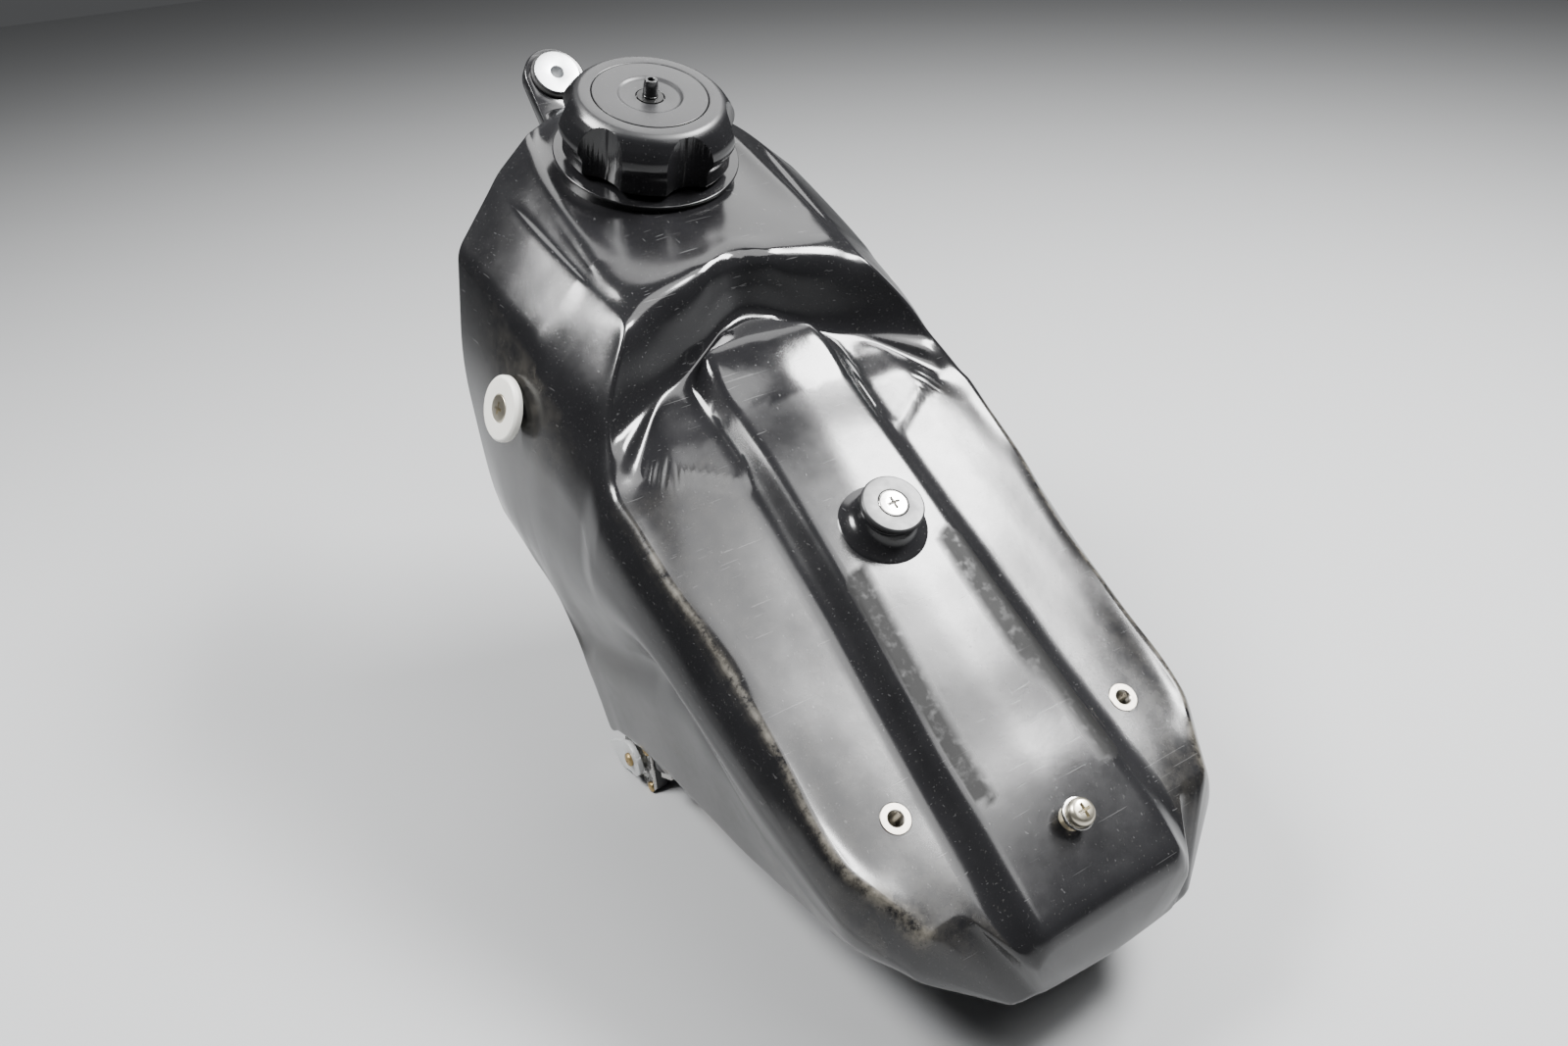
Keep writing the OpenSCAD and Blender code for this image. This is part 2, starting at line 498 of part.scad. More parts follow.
// ---- Filler cap ----
cap_ceiling = 20.8;
cap_bore_r = neck_r + 0.9;
disc_r = 25.2;
disc_t = 2;
dish_r = 14.4;
hub_r = 6.4;
stem_r = 3.4;
stem_play = 0.1;
module filler_cap() color([0.08, 0.08, 0.085]) at_neck() difference() {
  rotate_extrude() polygon([[0, 2.5], [37.6, 2.5], [38, 3], [38, 9], [cap_r, 13], [cap_r, 16],
    [cap_r - 0.8, 19],
    [cap_r - 2.8, 22.5], [cap_r - 5.2, 25.8], [32.4, cap_top - 0.8], [31.4, cap_top], [0, cap_top]]);
  translate([0, 0, 1]) cylinder(r = cap_bore_r, h = cap_ceiling - 1);
  for (k = [0:scallops - 1]) rotate([0, 0, 270 + k * 360 / scallops])
    translate([33 + scallop_r, 0, 2]) cylinder(r = scallop_r, h = cap_top);
  translate([0, 0, cap_top - disc_t]) cylinder(r = disc_r + 0.3, h = disc_t + 1);
  cylinder(r = stem_r + stem_play, h = cap_top);
}
module cap_disc() color([0.1, 0.1, 0.105]) at_neck() difference() {
  translate([0, 0, cap_top - disc_t]) rotate_extrude() polygon([[hub_r, 0], [disc_r, 0], [disc_r, disc_t],
    [dish_r, disc_t], [dish_r - 1.6, disc_t - 0.9], [hub_r, disc_t - 0.9]]);
}
module cap_gasket() color([0.05, 0.05, 0.05]) at_neck() translate([0, 0, neck_h + 0.3])
  ring_solid(neck_r, neck_bore_r - 0.5, cap_ceiling - neck_h - 0.3);
vent_bore_r = 1.5;
nipple_top = cap_top + 7;
hose_r = 3.2;
module vent_nipple() color([0.04, 0.04, 0.04]) at_neck() rotate_extrude() polygon([[vent_bore_r, 14],
  [stem_r, 14], [stem_r, 16.5], [8, 16.5], [8, 18.6], [stem_r, 18.6], [stem_r, cap_top], [hose_r, cap_top],
  [hose_r, nipple_top - 2.6], [hose_r - 0.4, nipple_top],
  [vent_bore_r, nipple_top]]);
module vent_oring() color([0.03, 0.03, 0.03]) at_neck() translate([0, 0, 19.5]) rotate_extrude()
  translate([stem_r + 0.9, 0]) circle(r = 0.9, $fn = 24);
module vent_clip() color([0.3, 0.3, 0.3]) at_neck() translate([0, 0, cap_top - disc_t + 0.3])
  ring_solid(5.8, stem_r, 0.9);

// ---- Fuel cock ----
chamber_d = 18;
pipe_in = 5;
chamber_bore_r = 10.5;
plate_t = 1.5;
module cock_nuts() color([0.72, 0.68, 0.55]) at_cock_screws(pad_z)
  ring_solid(nut_body_r, tap_r, pad_t - 2);
body_len = 26;
outlet_x = -61;
outlet_drop = 8;
outlet_back = 16;
outlet_r = 3.5;
outlet_boss_r = 6;
outlet_boss_len = 24;
pipe_fit_r = 3.3;
oring_out = 9.2;
oring_in = 7.2;
oring_t = 1.8;
cock_washer_t = 1.2;
hex_r = 5.4;
hex_h = 4;
plate_screw_r = 1.25;
module at_plate_bolts(z) at_cock() for (turn = [45:90:359])
  rotate([0, 0, turn]) translate([plate_bolt_r, 0, z]) children();
port_r = 1.8;
port_at = 5.6;
bridge_in = 1.5;
bridge_r = 6;
cock_neck_r = 6.6;
cock_neck_floor = 4;
// Ways from the standpipe to the upper port and from the lower port to the outlet.
module fuel_passages() {
  at_cock() for (port = [[0, -port_at], [-port_at, 0]])
    translate([port[0], port[1], -chamber_d - 2 * port_r]) cylinder(r = port_r, h = 2 * port_r + 1);
  in_frame() translate([-cock_face_x + chamber_d + port_r, cock_y - port_at, cock_z]) rotate([90, 0, 0])
    cylinder(r = port_r, h = cock_y - port_at - cock_flange_y);
  at_cock_flange(cock_z - port_r) translate([bridge_in, 0, 0])
    cylinder(r = port_r + 0.6, h = pad_z - pipe_in - cock_z + port_r + 1);
  in_frame() translate([-cock_face_x + chamber_d + port_r, cock_y, cock_z - port_at]) rotate([90, 0, 0])
    cylinder(r = port_r, h = outlet_back + 3);
}
module cock_casting() {
  at_cock_flange(pad_z - cock_flange_t) {
    stadium(cock_flange_r, cock_flange_t);
    cylinder(r = seal_seat_r, h = cock_flange_t);
  }
  at_cock_flange(cock_z - cock_neck_floor) cylinder(r = cock_neck_r, h = pad_z - cock_z);
  at_cock_flange(cock_z) translate([bridge_in, 0, 0]) rotate([-90, 0, 0])
    cylinder(r = bridge_r, h = cock_y - cock_flange_y - 8);
  at_cock() translate([0, 0, -body_len]) cylinder(r = cock_r, h = body_len);
  at_cock() translate([-cock_r, -cock_r, -6]) cube([2 * cock_r, 2 * cock_r, 6]);
  in_frame() translate([outlet_x, cock_y - 8, cock_z - outlet_drop]) rotate([90, 0, 0])
    cylinder(r = outlet_boss_r, h = outlet_boss_len);
}
module cock_body() color([0.09, 0.09, 0.09]) difference() {
  cock_casting();
  at_cock() translate([0, 0, -chamber_d]) cylinder(r = chamber_bore_r, h = chamber_d + 1);
  at_cock_flange(pad_z - pipe_in) cylinder(r = pipe_r, h = pipe_in + 1);
  at_cock_flange(pad_z - oring_t) ring_solid(oring_out, oring_in, oring_t + 1);
  at_cock_screws(pad_z - 10) cylinder(r = hole_r, h = 12);
  in_frame() translate([outlet_x, cock_y - outlet_back, cock_z - outlet_drop]) rotate([90, 0, 0])
    cylinder(r = pipe_fit_r, h = outlet_back + 1);
  fuel_passages();
  at_plate_bolts(-5) cylinder(r = plate_screw_r, h = 8);
}
module cock_oring() color([0.03, 0.03, 0.03]) at_cock_flange(pad_z - oring_t)
  ring_solid(oring_out, oring_in, oring_t);
module cock_screws() color([0.75, 0.74, 0.7]) at_cock_screws(pad_z - cock_flange_t - cock_washer_t)
  difference() {
    union() {
      cylinder(r = tap_r, h = 13);
      translate([0, 0, -hex_h]) cylinder(r = hex_r, h = hex_h, $fn = 6);
    }
    translate([0, 0, -hex_h - eps]) cylinder(r = 2, h = 1.5);
  }
module cock_washers() color([0.8, 0.8, 0.8]) at_cock_screws(pad_z - cock_flange_t - cock_washer_t)
  ring_solid(hex_r + 0.4, tap_r, cock_washer_t);
module cock_packing() color([0.06, 0.06, 0.06]) at_cock() translate([0, 0, -chamber_d]) difference() {
  cylinder(r = chamber_bore_r, h = 5);
  for (turn = [0:90:359]) rotate([0, 0, turn]) translate([port_at, 0, -1]) cylinder(r = port_r, h = 7);
}
rotor_r = chamber_bore_r - 0.3;
hub_pin_r = 4;
hub_play = 0.06;
lever_gap = 1.9;
module cock_rotor() color([0.7, 0.7, 0.68]) at_cock() difference() {
  union() {
    translate([0, 0, -chamber_d + 5.3]) cylinder(r = rotor_r, h = 7);
    translate([0, 0, -9]) cylinder(r = hub_pin_r, h = 9 + plate_t + lever_gap);
  }
  for (turn = [-20, 20]) rotate([0, 0, turn]) translate([port_at, 0, -chamber_d])
    cylinder(r = port_r, h = 8.5);
  translate([0, 0, -5]) cylinder(r = 1.6, h = 10);
}
lever_t = 2.5;
// Outline of the paddle from its pivot, as [up, forward] pairs.
paddle = [[-6.7, 26], [-13.8, 12.4], [-5, -7], [-2, -9.6], [5, -8.5], [9, 0], [3.5, 12]];
module cock_lever() color([0.62, 0.63, 0.63]) at_cock() translate([0, 0, plate_t + lever_gap]) difference() {
  union() {
    cylinder(r = 9, h = lever_t);
    linear_extrude(lever_t) polygon(paddle);
  }
  translate([0, 0, -1]) cylinder(r = 1.6, h = 6);
}
module lever_screw() color([0.72, 0.6, 0.3]) at_cock() difference() {
  union() {
    translate([0, 0, -4]) cylinder(r = 1.6, h = plate_t + lever_gap + lever_t + 4);
    translate([0, 0, plate_t + lever_gap + lever_t]) cylinder(r = 3.4, h = 2);
  }
  translate([0, 0, plate_t + lever_gap + lever_t + 2.1]) scale(0.55) cross_recess(2.2);
}
module cock_spring() color([0.75, 0.75, 0.75]) at_cock() translate([0, 0, -5.4]) ring_solid(9.6, 6, 5.1);
module cock_plate() color([0.72, 0.72, 0.7]) difference() {
  at_cock() translate([-cock_r, -cock_r, 0]) cube([2 * cock_r, 2 * cock_r, plate_t]);
  at_cock() translate([0, 0, -1]) cylinder(r = hub_pin_r + hub_play, h = plate_t + 2);
  at_plate_bolts(-1) cylinder(r = plate_screw_r + 0.35, h = plate_t + 2);
}
module plate_screws() color([0.72, 0.6, 0.3]) at_plate_bolts(0) difference() {
  union() {
    translate([0, 0, -4.5]) cylinder(r = plate_screw_r, h = 4.5 + plate_t);
    translate([0, 0, plate_t]) cylinder(r = 2.6, h = 1.4);
  }
  translate([0, 0, plate_t + 1.5]) scale(0.45) cross_recess(2);
}
pipe_top = 64;
module cock_standpipe() color([0.72, 0.6, 0.3]) at_cock_flange(pad_z - pipe_in)
  ring_solid(pipe_r, 3, pipe_top);
module cock_strainer() color([0.85, 0.83, 0.75]) at_cock_flange(pad_z + 1)
  ring_solid(6.2, pipe_r, pipe_top - 8);
module outlet_pipe() color([0.72, 0.6, 0.3]) in_frame()
  translate([outlet_x, cock_y - outlet_back, cock_z - outlet_drop]) rotate([90, 0, 0]) difference() {
    rotate_extrude() polygon([[0, 0], [pipe_fit_r, 0], [pipe_fit_r, outlet_back],
      [outlet_r, outlet_back], [outlet_r, outlet_back + 18], [outlet_r - 0.5, outlet_back + 20],
      [0, outlet_back + 20]]);
    translate([0, 0, -1]) cylinder(r = 2.4, h = outlet_back + 22);
  }

tank_shell();
lug_grommet();
lug_collar();
shroud_nuts();
shroud_collars();
shroud_screws();
hook_nut();
hook_collar();
hook_screw();
seat_nuts();
tail_nut();
tail_screw();
tail_washer();
filler_cap();
cap_disc();
cap_gasket();
vent_nipple();
vent_oring();
vent_clip();
cock_nuts();
cock_body();
cock_oring();
cock_screws();
cock_washers();
cock_packing();
cock_rotor();
cock_lever();
lever_screw();
cock_spring();
cock_plate();
plate_screws();
cock_standpipe();
cock_strainer();
outlet_pipe();
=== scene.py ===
import math
import bpy
import bmesh
import numpy as np
from mathutils import Matrix, Vector


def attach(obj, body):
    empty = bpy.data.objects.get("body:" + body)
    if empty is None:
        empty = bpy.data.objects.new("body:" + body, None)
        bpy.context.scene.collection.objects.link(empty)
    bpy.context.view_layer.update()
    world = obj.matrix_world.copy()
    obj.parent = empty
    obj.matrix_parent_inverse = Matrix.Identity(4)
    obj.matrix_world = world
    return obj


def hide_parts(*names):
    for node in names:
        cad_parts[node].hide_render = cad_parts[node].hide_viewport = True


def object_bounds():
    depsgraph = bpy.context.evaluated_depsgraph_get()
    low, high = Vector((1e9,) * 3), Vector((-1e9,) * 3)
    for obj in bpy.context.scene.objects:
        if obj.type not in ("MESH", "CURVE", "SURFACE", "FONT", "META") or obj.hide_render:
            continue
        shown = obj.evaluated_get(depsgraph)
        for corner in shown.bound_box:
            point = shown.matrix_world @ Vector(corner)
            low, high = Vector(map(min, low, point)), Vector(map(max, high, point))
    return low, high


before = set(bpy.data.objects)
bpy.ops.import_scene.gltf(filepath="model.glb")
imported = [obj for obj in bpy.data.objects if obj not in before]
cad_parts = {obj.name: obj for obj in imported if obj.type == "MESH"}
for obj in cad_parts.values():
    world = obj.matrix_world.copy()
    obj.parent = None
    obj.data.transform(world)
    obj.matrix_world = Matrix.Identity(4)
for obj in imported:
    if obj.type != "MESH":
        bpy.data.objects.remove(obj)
size_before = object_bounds()

# Design coordinates in mm: y counts forward from the tail face, z up from the lowest plane.
LUG_Y, LUG_Z = 403.0, 314.0
MM = 0.001

# ---------------------------------------------------------------- mesh helpers


def mesh_object(name, verts, faces, material, smooth=True):
    me = bpy.data.meshes.new(name)
    me.from_pydata([tuple(map(float, v)) for v in verts], [], [tuple(map(int, f)) for f in faces])
    me.update()
    ob = bpy.data.objects.new(name, me)
    bpy.context.scene.collection.objects.link(ob)
    if material is not None:
        me.materials.append(material)
    for p in me.polygons:
        p.use_smooth = smooth
    return ob


def transform(verts, matrix):
    v = np.asarray(verts, float)
    m = np.array(matrix)
    return v @ m[:3, :3].T + m[:3, 3]


def join(parts):
    """Joins (verts, faces) pairs into one."""
    verts, faces, base = [], [], 0
    for v, f in parts:
        verts.append(np.asarray(v, float))
        faces += [tuple(i + base for i in q) for q in f]
        base += len(v)
    return np.vstack(verts), faces


def soften(profile, radius, steps=4, closed=False):
    """Rounds the corners of a 2-D profile with short curves."""
    p = [np.array(q, float) for q in profile]
    out = []
    for i, v in enumerate(p):
        if not closed and i in (0, len(p) - 1):
            out.append(v)
            continue
        a, b = p[i - 1], p[(i + 1) % len(p)]
        la, lb = np.linalg.norm(a - v), np.linalg.norm(b - v)
        r = min(radius, 0.45 * la, 0.45 * lb)
        if r < 1e-6:
            out.append(v)
            continue
        s, e = v + (a - v) * r / la, v + (b - v) * r / lb
        for t in np.linspace(0, 1, steps + 1):
            out.append((1 - t) ** 2 * s + 2 * t * (1 - t) * v + t * t * e)
    return out


def lathe(profile, seg=96, closed=False):
    """Revolves (r, z) points about Z. Points on the axis become poles."""
    verts, faces, rows = [], [], []
    for r, z in profile:
        if r < 1e-6:
            rows.append([len(verts)] * seg)
            verts.append((0, 0, z))
        else:
            rows.append(list(range(len(verts), len(verts) + seg)))
            for k in range(seg):
                a = 2 * math.pi * k / seg
                verts.append((r * math.cos(a), r * math.sin(a), z))
    pairs = list(zip(rows, rows[1:]))
    if closed:
        pairs.append((rows[-1], rows[0]))
    for a, b in pairs:
        for k in range(seg):
            n = (k + 1) % seg
            q = [a[k], a[n], b[n], b[k]]
            q = [x for i, x in enumerate(q) if x != q[i - 1]]
            if len(q) > 2:
                faces.append(tuple(q))
    return verts, faces


def prism(outline, z0, z1):
    """Extrudes a 2-D outline between two heights."""
    n = len(outline)
    verts = [(x, y, z0) for x, y in outline] + [(x, y, z1) for x, y in outline]
    faces = [tuple(range(n - 1, -1, -1)), tuple(range(n, 2 * n))]
    faces += [(i, (i + 1) % n, n + (i + 1) % n, n + i) for i in range(n)]
    return verts, faces


def circle(r, seg=48, x=0.0, y=0.0):
    return [(x + r * math.cos(2 * math.pi * k / seg),
             y + r * math.sin(2 * math.pi * k / seg)) for k in range(seg)]


def stadium(r, half, seg=24):
    """Outline of two half circles along Y."""
    up = [(r * math.cos(a), half + r * math.sin(a)) for a in np.linspace(0, math.pi, seg)]
    down = [(r * math.cos(a), -half + r * math.sin(a)) for a in np.linspace(math.pi, 2 * math.pi, seg)]
    return up + down


def fix_normals(ob):
    bm = bmesh.new()
    bm.from_mesh(ob.data)
    bmesh.ops.remove_doubles(bm, verts=bm.verts, dist=1e-7)
    bmesh.ops.recalc_face_normals(bm, faces=bm.faces)
    bm.to_mesh(ob.data)
    bm.free()


def apply_all(ob):
    """Bakes the object's modifiers into its mesh."""
    dg = bpy.context.evaluated_depsgraph_get()
    me = bpy.data.meshes.new_from_object(ob.evaluated_get(dg))
    ob.modifiers.clear()
    old = ob.data
    ob.data = me
    bpy.data.meshes.remove(old)


def cut(ob, verts, faces):
    """Subtracts a closed mesh from the object."""
    tool = mesh_object("tool", verts, faces, None, False)
    fix_normals(tool)
    m = ob.modifiers.new("cut", "BOOLEAN")
    m.operation, m.solver, m.object = "DIFFERENCE", "EXACT", tool
    apply_all(ob)
    bpy.data.objects.remove(tool)


def bevel(ob, width, angle=35, segments=3):
    m = ob.modifiers.new("bevel", "BEVEL")
    m.width, m.segments, m.limit_method, m.angle_limit = width, segments, "ANGLE", math.radians(angle)
    m.harden_normals = True
    apply_all(ob)


def sharp_shading(ob, angle=32):
    ob.data.set_sharp_from_angle(angle=math.radians(angle))



# ---------------------------------------------------------------- places


def rot(axis, deg):
    return Matrix.Rotation(math.radians(deg), 4, axis)


def spot(x, y, z):
    return Matrix.Translation((x, y - LUG_Y, z - LUG_Z))


LUG = spot(0, LUG_Y, LUG_Z) @ rot("X", 49) @ Matrix.Translation((0, 0, -7.6))
NECK = spot(0, 311.3, 292.5) @ rot("X", 21)
HOOK = spot(0, 136, 182.2) @ rot("X", 30)
TAIL = spot(0, 26, 112) @ rot("X", 34)
SEAT = [spot(s * 55.3, 55.3, 120.6) @ rot("X", 30) for s in (-1, 1)]
SIDE_L = spot(-97.2, 268, 211) @ rot("Z", 6) @ rot("Y", 22 - 90)
SIDES = [SIDE_L, Matrix.Scale(-1, 4, (1, 0, 0)) @ SIDE_L]
COCK = spot(-78, 230, 34) @ rot("Y", -90)


def scaled(verts, matrix=None):
    v = transform(verts, matrix) if matrix is not None else np.asarray(verts, float)
    return v * MM

# ---------------------------------------------------------------- materials


class Nodes:
    """A short way to build a procedural material."""

    def __init__(self, name):
        self.mat = bpy.data.materials.new(name)
        self.mat.use_nodes = True
        self.nt = self.mat.node_tree
        self.bsdf = self.nt.nodes["Principled BSDF"]
        self.where = self.add("ShaderNodeTexCoord").outputs["Object"]

    def add(self, kind, **values):
        n = self.nt.nodes.new(kind)
        for k, v in values.items():
            setattr(n, k, v)
        return n

    def link(self, a, b):
        self.nt.links.new(a, b)

    def put(self, node, socket, value):
        s = node.inputs[socket]
        if hasattr(value, "is_linked") or hasattr(value, "links"):
            self.link(value, s)
        else:
            s.default_value = value

    def noise(self, scale, detail=3.0, rough=0.55, stretch=None):
        n = self.add("ShaderNodeTexNoise")
        n.inputs["Scale"].default_value = scale
        n.inputs["Detail"].default_value = detail
        n.inputs["Roughness"].default_value = rough
        src = self.where
        if stretch is not None:
            m = self.add("ShaderNodeMapping")
            m.inputs["Scale"].default_value = stretch[0]
            m.inputs["Rotation"].default_value = stretch[1]
            self.link(self.where, m.inputs["Vector"])
            src = m.outputs["Vector"]
        self.link(src, n.inputs["Vector"])
        return n.outputs["Fac"]

    def ramp(self, fac, lo, hi, out_lo=0.0, out_hi=1.0, smooth=False):
        n = self.add("ShaderNodeMapRange")
        n.interpolation_type = "SMOOTHSTEP" if smooth else "LINEAR"
        self.put(n, "Value", fac)
        for s, v in (("From Min", lo), ("From Max", hi), ("To Min", out_lo), ("To Max", out_hi)):
            n.inputs[s].default_value = v
        return n.outputs["Result"]

    def math(self, op, a, b=0.0):
        n = self.add("ShaderNodeMath", operation=op)
        self.put(n, 0, a)
        self.put(n, 1, b)
        return n.outputs[0]

    def mix(self, fac, a, b):
        n = self.add("ShaderNodeMix", data_type="RGBA")
        self.put(n, 0, fac)
        for i, c in ((6, a), (7, b)):
            if isinstance(c, tuple):
                n.inputs[i].default_value = (*c, 1.0)
            else:
                self.link(c, n.inputs[i])
        return n.outputs[2]

    def bump(self, height, strength, distance=0.0002):
        n = self.add("ShaderNodeBump")
        n.inputs["Strength"].default_value = strength
        n.inputs["Distance"].default_value = distance
        self.link(height, n.inputs["Height"])
        self.link(n.outputs["Normal"], self.bsdf.inputs["Normal"])

    def attribute(self, name):
        n = self.add("ShaderNodeAttribute")
        n.attribute_name = name
        return n.outputs["Fac"]


def simple(name, color, rough, metal=0.0, grain=0.0, grain_scale=300.0, spread=0.1, stretch=None):
    """Plain finish with a little variation in roughness and tone."""
    k = Nodes(name)
    n = k.noise(grain_scale, stretch=stretch)
    k.bsdf.inputs["Metallic"].default_value = metal
    k.link(k.mix(n, tuple(c * (1 - spread) for c in color), tuple(min(1, c * (1 + spread)) for c in color)),
           k.bsdf.inputs["Base Color"])
    k.link(k.ramp(n, 0.25, 0.75, rough * 0.85, rough * 1.15), k.bsdf.inputs["Roughness"])
    if grain:
        k.bump(k.noise(grain_scale * 3), grain, 0.00005)
    return k.mat


def make_tank_plastic():
    k = Nodes("tank_plastic")
    cloud = k.noise(14.0, 4.0)
    haze = k.noise(38.0, 5.0, 0.7)
    speck = k.ramp(k.noise(900.0, 2.0), 0.66, 0.74)
    fleck = k.ramp(k.noise(420.0, 3.0, 0.7), 0.70, 0.76)
    # Long fine scratches in two directions.
    scratch_a = k.ramp(k.noise(30.0, 1.0, 0.5, ((0.35, 40.0, 40.0), (0.6, 0.0, 0.35))), 0.73, 0.75)
    scratch_b = k.ramp(k.noise(24.0, 1.0, 0.5, ((36.0, 0.4, 36.0), (-0.5, 0.2, 0.5))), 0.74, 0.76)
    scratches = k.math("MAXIMUM", scratch_a, scratch_b)
    wear, film = k.attribute("wear"), k.attribute("film")
    patchy = k.ramp(k.noise(120.0, 5.0, 0.75), 0.38, 0.62)
    dust = k.math("MULTIPLY", wear, patchy)
    film_edge = k.math("MULTIPLY", film, k.ramp(k.noise(260.0, 3.0), 0.25, 0.5, 0.55, 1.0))
    c = k.mix(k.ramp(cloud, 0.3, 0.7), (0.005, 0.005, 0.0055), (0.010, 0.010, 0.011))
    c = k.mix(k.math("MULTIPLY", haze, 0.015), c, (0.20, 0.20, 0.21))
    c = k.mix(k.math("MULTIPLY", speck, 0.05), c, (0.45, 0.44, 0.40))
    c = k.mix(k.math("MULTIPLY", k.math("MULTIPLY", fleck, k.ramp(cloud, 0.45, 0.7)), 0.10),
              c, (0.40, 0.38, 0.33))
    c = k.mix(k.math("MULTIPLY", scratches, 0.07), c, (0.5, 0.5, 0.5))
    c = k.mix(k.math("MULTIPLY", dust, 0.34), c, (0.34, 0.31, 0.25))
    c = k.mix(k.math("MULTIPLY", film_edge, 0.8), c, (0.012, 0.012, 0.0117))
    k.link(c, k.bsdf.inputs["Base Color"])
    r = k.ramp(haze, 0.25, 0.75, 0.15, 0.25)
    r = k.math("ADD", r, k.math("MULTIPLY", dust, 0.28))
    r = k.math("ADD", r, k.math("MULTIPLY", film_edge, 0.34))
    r = k.math("SUBTRACT", r, k.math("MULTIPLY", k.attribute("gloss"), 0.10))
    k.link(r, k.bsdf.inputs["Roughness"])
    k.link(k.math("SUBTRACT", 0.5, k.math("MULTIPLY", film_edge, 0.36)), k.bsdf.inputs["Specular IOR Level"])
    h = k.math("ADD", k.math("MULTIPLY", k.noise(55.0, 3.0), 0.55), k.math("MULTIPLY", k.noise(700.0, 2.0),
        0.05))
    h = k.math("SUBTRACT", h, k.math("MULTIPLY", scratches, 0.03))
    k.bump(h, 0.16, 0.0006)
    return k.mat


def make_cap_plastic():
    k = Nodes("cap_plastic")
    n = k.noise(45.0, 4.0)
    fine = k.noise(1400.0, 2.0)
    speck = k.ramp(k.noise(1100.0, 2.0), 0.69, 0.74)
    top = k.attribute("film")
    c = k.mix(n, (0.005, 0.005, 0.0055), (0.010, 0.010, 0.011))
    c = k.mix(k.math("MULTIPLY", top, 0.5), c, (0.030, 0.030, 0.031))
    c = k.mix(k.math("MULTIPLY", speck, 0.16), c, (0.4, 0.4, 0.4))
    k.link(c, k.bsdf.inputs["Base Color"])
    r = k.math("ADD", k.ramp(n, 0.3, 0.7, 0.14, 0.21), k.math("MULTIPLY", top, 0.18))
    k.link(r, k.bsdf.inputs["Roughness"])
    k.bump(k.math("ADD", fine, k.math("MULTIPLY", n, 0.5)), 0.10, 0.00012)
    return k.mat


M = {
    "tank_plastic": make_tank_plastic(),
    "cap_plastic": make_cap_plastic(),
    "rubber": simple("rubber", (0.012, 0.012, 0.012), 0.62, 0.0, 0.15, 500),
    "aluminium": simple("aluminium", (0.55, 0.56, 0.57), 0.34, 1.0, 0.10, 260, 0.05),
    "nylon": simple("nylon", (0.80, 0.79, 0.73), 0.38, 0.0, 0.08, 120, 0.04),
    "collar_dark": simple("collar_dark", (0.022, 0.022, 0.023), 0.36, 0.0, 0.10, 300, 0.15),
    "zinc": simple("zinc", (0.58, 0.54, 0.44), 0.33, 1.0, 0.20, 420, 0.14),
    "steel": simple("steel", (0.60, 0.59, 0.57), 0.27, 1.0, 0.12, 380, 0.08),
    "brass": simple("brass", (0.42, 0.31, 0.15), 0.40, 1.0, 0.15, 380, 0.2),
    "cock_cast": simple("cock_cast", (0.014, 0.014, 0.015), 0.42, 0.0, 0.35, 600, 0.2),
    "lever_grey": simple("lever_grey", (0.50, 0.51, 0.51), 0.42, 0.2, 0.10, 300, 0.06),
    "mesh": simple("mesh", (0.72, 0.69, 0.6), 0.6, 0.0, 0.4, 900, 0.1),
}

# ---------------------------------------------------------------- shell

CROWN = [[0, 0, 93], [4, 0, 97.5], [10, 0, 101.8], [20, 0, 108.3], [39, 0, 120], [60, 0, 132.2],
         [80, 0, 145.2], [101, 0, 159.2], [122, 0, 173.5], [146, 0, 188.3], [171, 0, 202.5], [197, 0, 216.5],
         [222, 0, 232.2], [233, 0, 236.4], [236.5, 0, 240], [238, 0, 250], [239.5, 0, 259], [244, 0, 264.5],
         [254, 0, 268], [280, 0, 277], [311, 0, 288.5], [345, 0, 301], [368, 0, 305.5], [382, 0, 303]]
SPINE_EDGE = [[0, 33.7, 92], [4, 33.7, 96.5], [10, 33.5, 100.8], [20, 32.9, 107.2], [39, 32.2, 119],
              [60, 31.9, 131], [80, 30.7, 144], [101, 29.3, 158], [122, 28.1, 172.5], [146, 27.6, 187],
              [171, 27.1, 201.3], [197, 27.2, 215.3], [217, 27, 229], [222.6, 26, 231.8], [227, 19, 233],
              [231, 13, 234.6], [233.6, 11, 238], [235, 11, 250], [236.2, 11, 258.5], [240, 12, 263.5],
              [250, 14, 266.5], [280, 20, 276.5], [311, 24, 287.5], [345, 24, 299.5], [365, 18, 304],
              [380, 10, 302]]
SPINE_FOOT = [[0, 38, 84], [6, 40, 90], [14, 42.5, 96], [21, 43.4, 100.5], [35, 42, 108.5],
              [55, 40.5, 119.8], [80, 39, 135], [101, 38, 148.5], [122, 37, 162], [146, 36.5, 176.5],
              [174, 36, 193.5], [200, 36.5, 208], [218.6, 37, 218.3], [224, 35, 222], [227.5, 31, 228],
              [229.8, 29, 242], [231, 28.5, 254], [233, 28.5, 258.8], [239, 30, 262], [250, 32, 265.5],
              [280, 37, 274.5], [311, 40, 285], [340, 37, 296], [361, 33, 301]]
INNER_RIM = [[21, 52, 100.6], [35, 53, 109], [55, 54, 120.2], [101, 56, 148], [146, 57, 176],
             [180, 57, 196], [200, 57, 208], [212, 56, 215], [220, 52, 219.5], [224, 48, 226],
             [227, 45.5, 243],
             [228.3, 45, 252], [231, 46, 256.5], [238, 49, 260], [247, 52, 262.8], [262, 53.5, 267.5],
             [281, 52.5, 275.5], [304, 50.5, 284.5], [325, 48, 292.5], [341, 44, 298], [352, 39, 302]]
